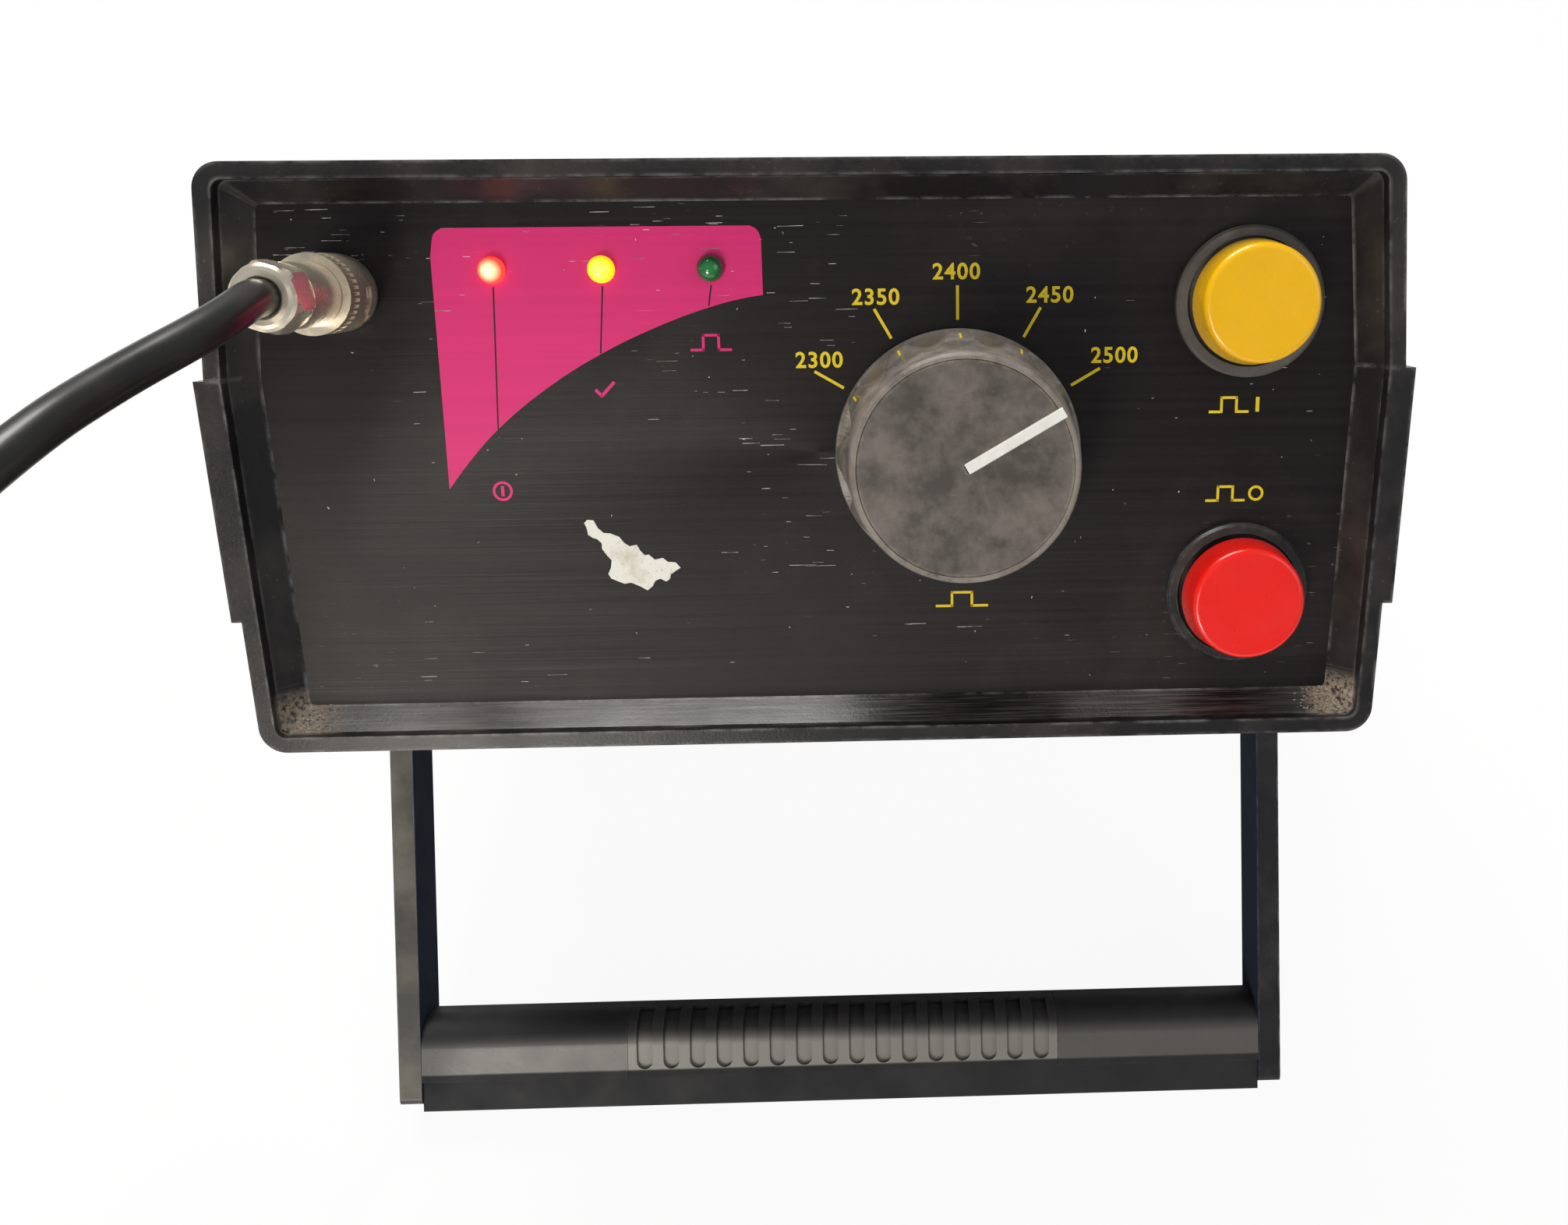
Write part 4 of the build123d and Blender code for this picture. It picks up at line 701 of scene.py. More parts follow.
class ELECTROPORATOR_OT_case(bpy.types.Operator):
    """Finishes the moulded case, its feet and its pivots"""

    bl_idname = "electroporator.case"
    bl_label = "Case Finish"

    def execute(self, context):
        wanted = settings(context, "finish")
        for name in ("upper_shell", "lower_shell"):
            finish = Finish(name + "_finish", wanted.case, 0.34, Specular_IOR_Level=0.36)
            grain = finish.effect("moulding", Grain=1500.0)
            wear = finish.mask("wear", Radius=0.0011, Breakup=180.0, Amount=0.75)
            dusty = finish.mask("dust", Patches=34.0, Specks=520.0, Amount=0.20)
            rubbed = finish.mask("scratches", Along=60.0, Across=420.0, Amount=0.25)
            # Dried dirt gathers on the ledge under the panel, most of all at its right end.
            across, back, up = finish.split(finish.vector)
            low = finish.ramp(up, *SLOPE_UNDER_PANEL)
            ground = finish.ramp(up, *LEDGE_UNDER_PANEL)
            front = finish.times(finish.ramp(back, *BEFORE_PANEL), finish.ramp(back, *BEHIND_RIM_EDGE))
            right = finish.ramp(across, *RIGHT_END)
            left = finish.ramp(across, *LEFT_END, 0.0, 0.8)
            corner = finish.calculate("ADD", right, left, clamp=True)
            lump = finish.ramp(finish.cloud(1100.0, 6.0, 0.75), 0.43, 0.53)
            dirt = finish.times(finish.times(ground, front), finish.times(corner, lump))
            colour = finish.blend(wear, wanted.case, wanted.scuff)
            colour = finish.blend(dusty, colour, wanted.dust)
            colour = finish.blend(rubbed, colour, wanted.scuff)
            # The rim's top edge and left side are scuffed grey where it has been set down and slid.
            upper = finish.ramp(up, *RIM_TOP)
            side = finish.ramp(across, *RIM_LEFT)
            patchy = finish.ramp(finish.cloud(620.0, 6.0, 0.7), 0.42, 0.62)
            scuffed = finish.times(finish.calculate("MAXIMUM", upper, finish.times(side, 0.7)), patchy)
            colour = finish.blend(finish.times(scuffed, 0.30), colour, (0.060, 0.052, 0.046))
            colour = finish.blend(finish.times(dirt, 0.85), colour, (0.46, 0.37, 0.27))
            # A painted highlight lies on the lower slope, paler grey and broken into streaks along its length.
            streaks = finish.ramp(finish.effect("brushing", Along=45.0, Across=4200.0)["Height"], 0.46, 0.66)
            slope_painted_highlight = finish.times(finish.times(low, front), streaks)
            colour = finish.blend(finish.times(slope_painted_highlight, 0.40), colour, (0.26, 0.245, 0.22))
            finish.set(Base_Color=colour)
            rough = finish.ramp(finish.cloud(40.0), 0.35, 0.65, 0.27, 0.37)
            finish.set(Roughness=finish.calculate("ADD", rough, finish.times(dirt, 0.5), clamp=True))
            finish.bump(grain["Height"], 0.22, 0.00012)
            finish.give(name)

        finish = Finish("foot_rubber", (0.012, 0.012, 0.012), 0.75)
        dusty = finish.mask("dust", Patches=90.0, Amount=0.5)
        finish.set(Base_Color=finish.blend(dusty, (0.012, 0.012, 0.012), wanted.dust))
        finish.bump(finish.cloud(900.0), 0.3)
        finish.give("feet")

        finish = Finish("plated_steel", (0.55, 0.55, 0.54), 0.32, 1.0)
        finish.set(Roughness=finish.ramp(finish.cloud(300.0), 0.3, 0.7, 0.24, 0.44))
        finish.bump(finish.cloud(1400.0), 0.12, 0.00005)
        finish.give(
            "case_screws", "pivot_studs", "pivot_nuts", "grip_screws", "board_screws", "display_posts", "selector_nut",
            "knob_grub_screw",
        )
        return {"FINISHED"}


class ELECTROPORATOR_OT_panels(bpy.types.Operator):
    """Finishes the brushed and anodised panels"""

    bl_idname = "electroporator.panels"
    bl_label = "Panel Finish"

    def execute(self, context):
        wanted = settings(context, "finish")
        for name in ("front_panel", "rear_panel"):
            finish = Finish(name + "_finish", wanted.panel, 0.38, 0.0, Anisotropic=0.5, Specular_IOR_Level=0.24)
            brushed = finish.effect("brushing", **PANEL_LINES)
            scratched = finish.mask("scratches", Along=150.0, Across=3400.0, Amount=0.5)
            nicked = finish.mask("scratches", Along=420.0, Across=700.0, Amount=0.25)
            dusty = finish.mask("dust", Patches=26.0, Specks=420.0, Amount=0.07)
            lighter = scaled(wanted.panel, 2.0)
            colour = finish.blend(finish.times(brushed["Tint"], 0.6), wanted.panel, lighter)
            colour = finish.blend(dusty, colour, wanted.dust)
            colour = finish.blend(scratched, colour, (0.42, 0.42, 0.44))
            colour = finish.blend(nicked, colour, (0.30, 0.30, 0.31))
            finish.set(Base_Color=colour)
            finish.set(Roughness=finish.ramp(brushed["Height"], 0.25, 0.75, 0.30, 0.48))
            finish.bump(brushed["Height"], 0.30, 0.00006)
            finish.give(name)
        return {"FINISHED"}


class ELECTROPORATOR_OT_print(bpy.types.Operator):
    """Prints the lamp field, its leader lines, and the scale with its numbers"""

    bl_idname = "electroporator.print"
    bl_label = "Panel Print"

    def execute(self, context):
        wanted = settings(context, "print")
        film = wanted.film

        def ink(name, colour, scratches):
            finish = Finish(name, colour, 0.40, Specular_IOR_Level=0.30)
            wear_and_painted_light = finish.mask("scratches", Along=120.0, Across=2600.0, Amount=scratches)
            brushed = finish.effect("brushing", **PANEL_LINES)
            tone = finish.blend(finish.times(brushed["Tint"], 0.22), colour, scaled(colour, 0.72))
            paler = tuple(min(1.0, channel * 1.25 + 0.12) for channel in colour)
            finish.set(Base_Color=finish.blend(wear_and_painted_light, tone, paler))
            finish.set(Roughness=finish.ramp(brushed["Height"], 0.25, 0.75, 0.34, 0.50))
            finish.bump(brushed["Height"], 0.22, 0.00005)
            return finish.material

        magenta = ink("magenta_ink", wanted.magenta, 0.5)
        yellow = ink("yellow_ink", wanted.yellow, 0.25)
        black = ink("black_ink", wanted.black, 0.1)

        lift = Matrix.Translation((0, 0, film / 2))
        field = [
            (-0.0697, 0.0925, "VECTOR"),
            (-0.0692, 0.0953, "VECTOR"),
            (-0.0688, 0.0965, "AUTO"),
            (-0.0673, 0.0976, "VECTOR"),
            (-0.0112, 0.0976, "VECTOR"),
            (-0.0099, 0.0968, "AUTO"),
            (-0.0092, 0.0952, "VECTOR"),
            (-0.0092, 0.0851, "VECTOR"),
            (-0.0125, 0.0846, "AUTO"),
            (-0.0187, 0.0831, "AUTO"),
            (-0.0290, 0.0795, "AUTO"),
            (-0.0399, 0.0745, "AUTO"),
            (-0.0500, 0.0685, "AUTO"),
            (-0.0600, 0.0607, "AUTO"),
            (-0.0655, 0.0550, "AUTO"),
            (-0.0700, 0.0495, "VECTOR"),
        ]
        mesh = flat_mesh("lamp_field", outline_curve("lamp_field", field, film), panel_place @ lift)
        keep_piece("lamp_field", mesh, "case", magenta)

        shape = bmesh.new()
        ends = {"led_red": (-0.0599, 0.0608), "led_yellow": (-0.0398, 0.0747), "led_green": (-0.0193, 0.0832)}
        for lamp, end in ends.items():
            add_bar(shape, (LAMPS[lamp], LAMP_HEIGHT - 0.0030), end, wanted.leader_width, film, lift=film)
        keep_print("lamp_leaders", shape, black)

        shape = bmesh.new()
        for place in range(5):
            turn = radians(150 - SCALE_ANGLE * place)
            way = Vector((cos(turn), sin(turn)))
            add_bar(shape, DIAL + way * wanted.tick_inner, DIAL + way * wanted.tick_outer, wanted.tick_width, film)
        keep_print("scale_marks", shape, yellow)

        numerals = bmesh.new()
        middles = ((0.0009, 0.0729), (0.0117, 0.0844), (0.0268, 0.0889), (0.0443, 0.0845), (0.0567, 0.0732))
        for place, (x, z) in enumerate(middles):
            value = str(wanted.scale_start + place * wanted.scale_step)
            words = words_curve("numeral", value, wanted.numeral_size, film)
            mesh = flat_mesh("numeral", words, panel_place @ Matrix.Translation((x, z, film / 2)))
            numerals.from_mesh(mesh)
            bpy.data.meshes.remove(mesh)
        mesh = bpy.data.meshes.new("scale_numerals")
        numerals.to_mesh(mesh)
        numerals.free()
        keep_piece("scale_numerals", mesh, "case", yellow)
        return {"FINISHED"}


class ELECTROPORATOR_OT_symbols(bpy.types.Operator):
    """Prints plain symbols beside the lamps, under the knob and at the buttons"""

    bl_idname = "electroporator.symbols"
    bl_label = "Plain Symbols"

    def execute(self, context):
        wanted = settings(context, "print")
        film = wanted.film
        yellow = bpy.data.materials["yellow_ink"]
        magenta = bpy.data.materials["magenta_ink"]

        def pulse(shape, x, z, width=0.0072, height=0.0027, line=0.0005):
            """A square pulse on its base line."""
            corners = [(-0.5, 0), (-0.2, 0), (-0.2, 1), (0.2, 1), (0.2, 0), (0.5, 0)]
            spots = [Vector((x + width * across, z + height * (up - 0.5))) for across, up in corners]
            for first, second in zip(spots, spots[1:]):
                way = (second - first).normalized() * line / 2
                add_bar(shape, first - way, second + way, line, film)

        shape = bmesh.new()
        pulse(shape, 0.0790, 0.0637)
        add_bar(shape, (0.0845, 0.0623), (0.0845, 0.0651), 0.0007, film)
        pulse(shape, 0.0790, 0.0465)
        add_ring(shape, (0.0850, 0.0465), 0.0015, 0.0005, film)
        pulse(shape, 0.0277, 0.0263, width=0.0098)
        keep_print("yellow_symbols", shape, yellow)

        shape = bmesh.new()
        add_ring(shape, (-0.0600, 0.0490), 0.0019, 0.0005, film)
        add_bar(shape, (-0.0600, 0.0480), (-0.0600, 0.0500), 0.0006, film)
        add_bar(shape, (-0.0412, 0.0680), (-0.0400, 0.0667), 0.0006, film)
        add_bar(shape, (-0.0402, 0.0667), (-0.0376, 0.0694), 0.0006, film)
        pulse(shape, -0.0192, 0.0765)
        keep_print("magenta_symbols", shape, magenta)
        return {"FINISHED"}


class ELECTROPORATOR_OT_paper(bpy.types.Operator):
    """Leaves the torn remains of a paper label on the panel"""

    bl_idname = "electroporator.paper"
    bl_label = "Paper Remains"

    def execute(self, context):
        torn = [
            (-45.0, 42.6), (-44.4, 43.2), (-43.2, 43.1), (-42.5, 41.6), (-41.4, 40.6), (-40.2, 40.5), (-38.5, 39.8),
            (-37.6, 38.6), (-36.6, 37.9), (-35.2, 38.2), (-34.6, 37.0), (-33.8, 36.1), (-33.0, 36.2), (-31.9, 35.2),
            (-30.3, 35.5), (-29.4, 34.7), (-27.9, 34.6), (-27.0, 33.5), (-28.0, 32.9), (-28.9, 32.2), (-29.2, 31.3),
            (-29.9, 30.8), (-31.0, 31.4), (-32.0, 31.0), (-32.6, 29.9), (-33.6, 29.1), (-34.9, 29.9), (-36.7, 30.7),
            (-38.0, 30.5), (-39.4, 31.1), (-40.5, 31.6), (-41.0, 32.5), (-40.4, 33.8), (-40.2, 35.2), (-41.2, 36.4),
            (-41.9, 37.5), (-41.9, 38.6), (-42.7, 39.4), (-43.6, 39.7), (-44.4, 40.3), (-44.6, 41.6),
        ]
        thickness = 0.00008
        curve = outline_curve("paper_remains", [(x / 1000, z / 1000, "VECTOR") for x, z in torn], thickness)
        mesh = flat_mesh("paper_remains", curve, panel_place @ Matrix.Translation((0, 0, thickness / 2)))
        finish = Finish("torn_paper", (0.78, 0.75, 0.66), 0.85)
        fibre = finish.cloud(1100.0, 6.0, 0.7)
        soiled = finish.ramp(finish.cloud(160.0, 5.0, 0.6), 0.5, 0.72)
        tone = finish.blend(soiled, (0.80, 0.78, 0.70), (0.50, 0.43, 0.31))
        finish.set(Base_Color=finish.blend(finish.ramp(fibre, 0.60, 0.70), tone, (0.30, 0.27, 0.22)))
        finish.bump(fibre, 0.6, 0.0002)
        keep_piece("paper_remains", mesh, "case", finish.material)
        return {"FINISHED"}


class ELECTROPORATOR_OT_nicks(bpy.types.Operator):
    """Scatters fine nicks and lint over the panel"""

    bl_idname = "electroporator.nicks"
    bl_label = "Nicks and Lint"

    def execute(self, context):
        draw = Random(11)
        # Each zone is a box on the panel in millimetres, a count, and the shortest and longest nick.
        zones = (
            (-98, -74, 91, 101, 26, 0.5, 4.0),
            (-76, -69, 52, 96, 9, 0.5, 3.0),
            (-68, -12, 96, 101, 12, 0.6, 5.0),
            (-66, -14, 84, 96, 12, 0.5, 4.0),
            (-10, 8, 74, 100, 20, 0.5, 5.0),
            (-36, -4, 58, 76, 14, 0.5, 4.0),
            (-20, 3, 32, 60, 22, 0.6, 6.0),
            (-90, 60, 10, 30, 20, 0.5, 5.0),
            (52, 98, 36, 100, 16, 0.3, 1.6),
        )
        shape = bmesh.new()
        for left, right, low, high, count, shortest, longest in zones:
            for _ in range(count):
                x, z = draw.uniform(left, right), draw.uniform(low, high)
                length = shortest + (longest - shortest) * draw.random() ** 2.5
                tilt = draw.uniform(-0.02, 0.02) * length
                end = ((x + length) / 1000, (z + tilt) / 1000)
                add_bar(shape, (x / 1000, z / 1000), end, draw.uniform(0.00005, 0.00010), 0.00005)
        for _ in range(60):
            x, z, turn = draw.uniform(-96, 98), draw.uniform(10, 100), draw.uniform(0, pi)
            length = draw.uniform(0.15, 0.5)
            end = ((x + length * cos(turn)) / 1000, (z + length * sin(turn)) / 1000)
            add_bar(shape, (x / 1000, z / 1000), end, draw.uniform(0.0001, 0.0002), 0.00008)
        finish = Finish("bare_metal_nick", (0.52, 0.50, 0.48), 0.55)
        clean = finish.ramp(finish.cloud(240.0), 0.42, 0.58)
        finish.set(Base_Color=finish.blend(clean, (0.16, 0.15, 0.15), (0.66, 0.64, 0.62)))
        finish.bump(finish.cloud(1800.0), 0.2, 0.00005)
        keep_print("panel_nicks", shape, finish.material)
        return {"FINISHED"}


class ELECTROPORATOR_OT_grit(bpy.types.Operator):
    """Leaves grains of dried dirt in the lower corners of the rim"""

    bl_idname = "electroporator.grit"
    bl_label = "Corner Grit"

    def execute(self, context):
        draw = Random(5)
        shape = bmesh.new()
        # Each heap is where it is thickest, where it ends, a count and a largest grain, in millimetres.
        heaps = ((102.6, 95.5, 300, 0.34), (-102.8, -96.5, 170, 0.26), (-100.0, -70.0, 160, 0.13))
        for thickest, end, count, largest in heaps:
            for _ in range(count):
                # The lower slope rises 0.8 for each millimetre that it goes back.
                depth = draw.uniform(3.3, 8.0)
                inset = 3 + (depth - 3) * 0.8
                side = 1 if thickest > 0 else -1
                x = thickest + (end - thickest) * abs(draw.gauss(0, 0.42)) + side * draw.uniform(-0.6, 0.9)
                x = side * min(side * x, 107.9 - inset - 0.3)
                size = largest * (0.35 + 0.65 * draw.random() ** 2)
                made = bmesh.ops.create_icosphere(shape, subdivisions=1, radius=size / 1000)
                squeeze = (draw.uniform(0.7, 1.3), draw.uniform(0.7, 1.3), draw.uniform(0.6, 1.1))
                bmesh.ops.scale(shape, vec=squeeze, verts=made["verts"])
                place = (x / 1000, depth / 1000, (inset + size * 0.3) / 1000)
                bmesh.ops.translate(shape, vec=place, verts=made["verts"])
        finish = Finish("dried_dirt", (0.50, 0.41, 0.30), 0.9)
        grains = finish.ramp(finish.cloud(2600.0, 3.0), 0.35, 0.65)
        finish.set(Base_Color=finish.blend(grains, (0.30, 0.235, 0.165), (0.66, 0.57, 0.45)))
        finish.bump(finish.cloud(5000.0), 0.4)
        keep_shape("corner_grit", shape, case_place, "case", finish.material)
        return {"FINISHED"}


class ELECTROPORATOR_OT_lamps(bpy.types.Operator):
    """Finishes the three indicator lamps, two of them lit"""

    bl_idname = "electroporator.lamps"
    bl_label = "Indicator Lamps"

    def execute(self, context):
        # Each lamp's colour at its rim and in its middle, and how strongly it glows.
        looks = {
            "led_red": ((1.0, 0.05, 0.02), (1.0, 0.66, 0.34), 1.5),
            "led_yellow": ((1.0, 0.62, 0.0), (1.0, 0.95, 0.10), 1.1),
            "led_green": ((0.004, 0.10, 0.022), (0.010, 0.20, 0.05), 0.0),
        }
        for name, (rim, core, level) in looks.items():
            finish = Finish(name + "_lens", rim, 0.16, Coat_Weight=0.6, Coat_Roughness=0.08)
            centred = finish.moved(finish.vector, (-LAMPS[name], 0, -LAMP_HEIGHT))
            away = finish.length(finish.vector_math("MULTIPLY", centred, (1, 0, 1))["Vector"])
            colour = finish.blend(finish.ramp(away, 0.0005, 0.0022), core, rim)
            finish.set(Base_Color=colour)
            if level:
                finish.set(Emission_Color=colour, Emission_Strength=level)
            finish.bump(finish.cloud(900.0, 2.0), 0.05)
            finish.give(name)
        return {"FINISHED"}


class ELECTROPORATOR_OT_controls(bpy.types.Operator):
    """Finishes the selector knob and the push buttons"""

    bl_idname = "electroporator.controls"
    bl_label = "Knob and Buttons"

    def execute(self, context):
        wanted = settings(context, "finish")
        line = settings(context, "controls")
        # The knob's body and its cap, with their dust, roughness and how pale they are.
        for name, dust_amount, rough, tone in (("knob_body", 0.5, 0.34, 2.5), ("knob_cap", 0.55, 0.42, 1.45)):
            finish = Finish(name + "_finish", wanted.knob, rough)
            dusty = finish.mask("dust", Patches=70.0, Specks=900.0, Amount=dust_amount)
            wear = finish.mask("wear", Radius=0.0009, Breakup=420.0, Amount=0.55)
            cloudy = finish.ramp(finish.cloud(110.0, 7.0, 0.68), 0.40, 0.62)
            dark, pale = (tuple(channel * share * tone for channel in wanted.knob) for share in (0.50, 1.7))
            colour = finish.blend(finish.times(cloudy, 0.52), dark, pale)
            colour = finish.blend(finish.times(dusty, 0.45), colour, wanted.dust)
            if name == "knob_body":
                colour = finish.blend(0.2, colour, (0.19, 0.185, 0.175))
                # Grime sits deep in the flutes, where fingers never wipe.
                across, back, up = finish.split(finish.moved(finish.vector, (-DIAL.x, 0, -DIAL.y)))
                flat = finish.put("ShaderNodeCombineXYZ", {"X": across, "Z": up})
                away = finish.length(flat.outputs[0])
                cone_foot, cone_taper = 0.0225, 0.142
                cone = finish.calculate("ADD", finish.times(back, cone_taper), cone_foot)
                deep = finish.ramp(finish.calculate("SUBTRACT", cone, away), 0.0004, 0.0011)
                grime = finish.times(deep, finish.ramp(finish.cloud(420.0, 6.0, 0.7), 0.36, 0.56))
                colour = finish.blend(finish.times(grime, 0.9), colour, (0.25, 0.205, 0.135))
            colour = finish.blend(wear, colour, (0.34, 0.31, 0.27))
            finish.set(Base_Color=colour)
            finish.set(Roughness=finish.ramp(cloudy, 0.0, 1.0, rough - 0.08, rough + 0.12))
            finish.bump(finish.cloud(1300.0, 3.0), 0.18)
            finish.give(name)

        def fluted(turn, radius, height):
            """Twelve flutes run straight up from the skirt, and end where the cone is as narrow as their floor."""
            skirt_height, cap_seat, floor, wall = 0.0028, 0.0202, 0.0209, 0.0026
            if height < skirt_height or radius < cap_seat:
                return radius
            across = (turn - radians(90)) % radians(30) - radians(15)
            return min(radius, floor + wall * (across / radians(11.5)) ** 2)

        # The skirt, the side, the rounded top edge, and the seat of the cap.
        shape = bmesh.new()
        add_turned(
            shape,
            (
                (0.0110, 0.0008), (0.0231, 0.0008), (0.0234, 0.0011), (0.0234, 0.0020), (0.0232, 0.0026),
                (0.0231, 0.0029), (0.0230, 0.0034), (0.0228, 0.0060), (0.0222, 0.0100), (0.0219, 0.0120),
                (0.0216, 0.0140), (0.0213, 0.0160), (0.0211, 0.0175), (0.0209, 0.0190), (0.0207, 0.0210),
                (0.0206, 0.0224), (0.0205, 0.0229), (0.0204, 0.0231), (0.0202, 0.0234), (0.0199, 0.0236),
                (0.0194, 0.0236), (0.01925, 0.0234), (0.01925, 0.0222), (0.0110, 0.0222), (0.0110, 0.0008),
            ),
            segments=180,
            reshape=fluted,
        )
        dial_place = panel_place @ Matrix.Translation((DIAL.x, DIAL.y, 0))
        look = bpy.data.materials["knob_body_finish"]
        body = keep_shape("fluted_knob", shape, dial_place, "selector_knob", look)
        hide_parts("knob_body")

        mark_radius, mark_height, side_tilt = 0.02248, 0.0085, 98.5
        shape = bmesh.new()
        for step in range(4):
            turn = Matrix.Rotation(radians(60 - SCALE_ANGLE * step), 4, "Z")
            slope = Matrix.Translation((0, mark_radius, mark_height)) @ Matrix.Rotation(radians(side_tilt), 4, "X")
            made = add_bar(shape, (-0.0002, 0), (0.0002, 0), 0.0042, 0.00012)
            bmesh.ops.transform(shape, matrix=dial_place @ turn @ slope, verts=made)
        yellow = bpy.data.materials["yellow_ink"]
        keep_piece("skirt_marks", mesh_from("skirt_marks", shape), "selector_knob", yellow)

        finish = Finish("pointer_white", (0.80, 0.79, 0.74), 0.35)
        dusty = finish.mask("dust", Patches=260.0, Amount=0.35)
        finish.set(Base_Color=finish.blend(dusty, (0.80, 0.79, 0.74), wanted.dust))
        finish.bump(finish.cloud(700.0), 0.1)
        shape = bmesh.new()
        add_bar(shape, (-line.pointer_tail, 0), (line.pointer_reach, 0), line.pointer_width, line.pointer_thickness)
        around = Matrix.Translation((DIAL.x, DIAL.y, KNOB_HEIGHT - 0.0004)) @ Matrix.Rotation(radians(30), 4, "Z")
        bmesh.ops.transform(shape, matrix=panel_place @ around, verts=shape.verts)
        bmesh.ops.bevel(
            shape, geom=shape.edges[:], affect="EDGES", offset=0.0002, offset_type="OFFSET", segments=2, profile=0.5,
            material=-1,
        )
        mesh = mesh_from("pointer_line", shape)
        pointer = keep_piece("pointer_line", mesh, "selector_knob", finish.material)
        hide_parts("knob_pointer")

        for name, colour in (("start_cap", wanted.start), ("stop_cap", wanted.stop)):
            finish = Finish(name + "_finish", colour, 0.26, Coat_Weight=0.2, Coat_Roughness=0.10)
            finish.set(Subsurface_Weight=0.08, Subsurface_Scale=0.002)
            soiled = finish.mask("dust", Patches=120.0, Specks=1200.0, Amount=0.04)
            shade = finish.blend(finish.ramp(finish.cloud(55.0), 0.35, 0.65), scaled(colour, 0.93), colour)
            finish.set(Base_Color=finish.blend(soiled, shade, wanted.dust))
            finish.set(Roughness=finish.ramp(finish.cloud(130.0, 5.0), 0.3, 0.7, 0.20, 0.34))
            finish.bump(finish.cloud(800.0, 2.0), 0.06)
            finish.give(name)

        finish = Finish("bezel_worn", (0.085, 0.078, 0.070), 0.42)
        dusty = finish.mask("dust", Patches=150.0, Specks=900.0, Amount=0.30)
        finish.set(Base_Color=finish.blend(dusty, (0.085, 0.078, 0.070), wanted.dust))
        finish.bump(finish.effect("moulding", Grain=1900.0)["Height"], 0.15)
        finish.give("start_bezel")

        finish = Finish("bezel_black", (0.016, 0.016, 0.017), 0.38)
        wear = finish.mask("wear", Radius=0.0006, Breakup=500.0, Amount=0.5)
        dusty = finish.mask("dust", Patches=110.0, Specks=900.0, Amount=0.25)
        colour = finish.blend(wear, (0.016, 0.016, 0.017), wanted.scuff)
        finish.set(Base_Color=finish.blend(dusty, colour, wanted.dust))
        finish.bump(finish.effect("moulding", Grain=1900.0)["Height"], 0.15)
        finish.give(
            "stop_bezel", "start_nut", "stop_nut", "start_contact_block", "stop_contact_block", "selector_switch",
            "led_spacers", "mains_inlet", "mains_rocker", "mains_switch_frame", "fuse_holder", "pivot_cap_left",
            "pivot_cap_right", "cable_end_plug",
        )
        return {"FINISHED"}


class ELECTROPORATOR_OT_handle(bpy.types.Operator):
    """Finishes the handle's arms, grip sleeves and ribbed insert"""

    bl_idname = "electroporator.handle"
    bl_label = "Handle Finish"

    def execute(self, context):
        wanted = settings(context, "finish")
        # Each piece's colour, roughness, and the radius and amount of wear on its edges.
        looks = {
            "handle_arm_left": (wanted.handle, 0.34, 0.0009, 0.9),
            "handle_arm_right": (wanted.handle, 0.34, 0.0009, 0.9),
            "grip_bar": (wanted.grip, 0.27, 0.0007, 0.5),
            "grip_insert": (wanted.rubber, 0.36, 0.0006, 0.35),
        }
        # Paler colours painted on the rounded front of each grip piece, a painted highlight.
        grip_front_painted_highlight = {"grip_bar": (0.125, 0.118, 0.108), "grip_insert": (0.27, 0.25, 0.225)}
        for name, (colour, rough, radius, amount) in looks.items():
            finish = Finish(name + "_finish", colour, rough, Specular_IOR_Level=0.4)
            wear = finish.mask("wear", Radius=radius, Breakup=210.0, Amount=amount)
            dusty = finish.mask("dust", Patches=60.0, Specks=800.0, Amount=0.16)
            rubbed = finish.mask("scratches", Along=90.0, Across=300.0, Amount=0.20)
            tone = finish.blend(wear, colour, wanted.scuff)
            tone = finish.blend(dusty, tone, wanted.dust)
            tone = finish.blend(rubbed, tone, wanted.scuff)
            polish = finish.ramp(finish.cloud(70.0, 5.0), 0.3, 0.7, rough - 0.06, rough + 0.12)
            if name.startswith("grip"):
                # Hands polish the rounded front of the grip, and it is painted paler there as a painted highlight.
                # Its back edge and the flange under it stay matt, and are painted darker as painted shade.
                down_handle = (0, -sin(HANDLE_LEAN), -cos(HANDLE_LEAN))
                along = finish.vector_math("DOT_PRODUCT", finish.vector, down_handle)["Value"]
                pivot_reach = -pivot_in_case.y * sin(HANDLE_LEAN) - pivot_in_case.z * cos(HANDLE_LEAN)
                down = finish.calculate("SUBTRACT", along, pivot_reach)
                upper = finish.ramp(down, *GRIP_BACK_EDGE)
                flange = finish.ramp(down, *GRIP_FLANGE)
                matt = finish.calculate("MAXIMUM", finish.times(upper, 0.9), flange)
                polish = finish.calculate("ADD", polish, finish.times(matt, 0.38), clamp=True)
                front = finish.calculate("SUBTRACT", 1.0, matt, clamp=True)
                # A painted highlight on the rounded front, and painted shade on the back edge and the flange.
                tone = finish.blend(finish.times(front, 0.8), tone, grip_front_painted_highlight[name])
                tone = finish.blend(finish.times(matt, 0.75), tone, (0.006, 0.006, 0.008))
            if name == "handle_arm_left":
                # The left arm is painted paler grey in patches, a painted highlight for the light that falls on the
                # left side.
                wear_and_painted_light = finish.ramp(finish.cloud(55.0, 5.0), 0.36, 0.60, 0.15, 0.75)
                tone = finish.blend(wear_and_painted_light, tone, (0.150, 0.140, 0.110))
            if name.startswith("handle_arm"):
                # The inner sides are matt, and painted dark blue as a painted reflection.
                from_middle = finish.calculate("ABSOLUTE", finish.split(finish.vector)["X"])
                within = finish.ramp(from_middle, *ARM_INNER_SIDE)
                tone = finish.blend(finish.times(within, 0.92), tone, (0.004, 0.009, 0.030))
                polish = finish.calculate("ADD", polish, finish.times(within, 0.55), clamp=True)
            finish.set(Base_Color=tone)
            finish.set(Roughness=polish)
            finish.bump(finish.effect("moulding", Grain=1700.0)["Height"], 0.20)
            finish.give(name)
        return {"FINISHED"}


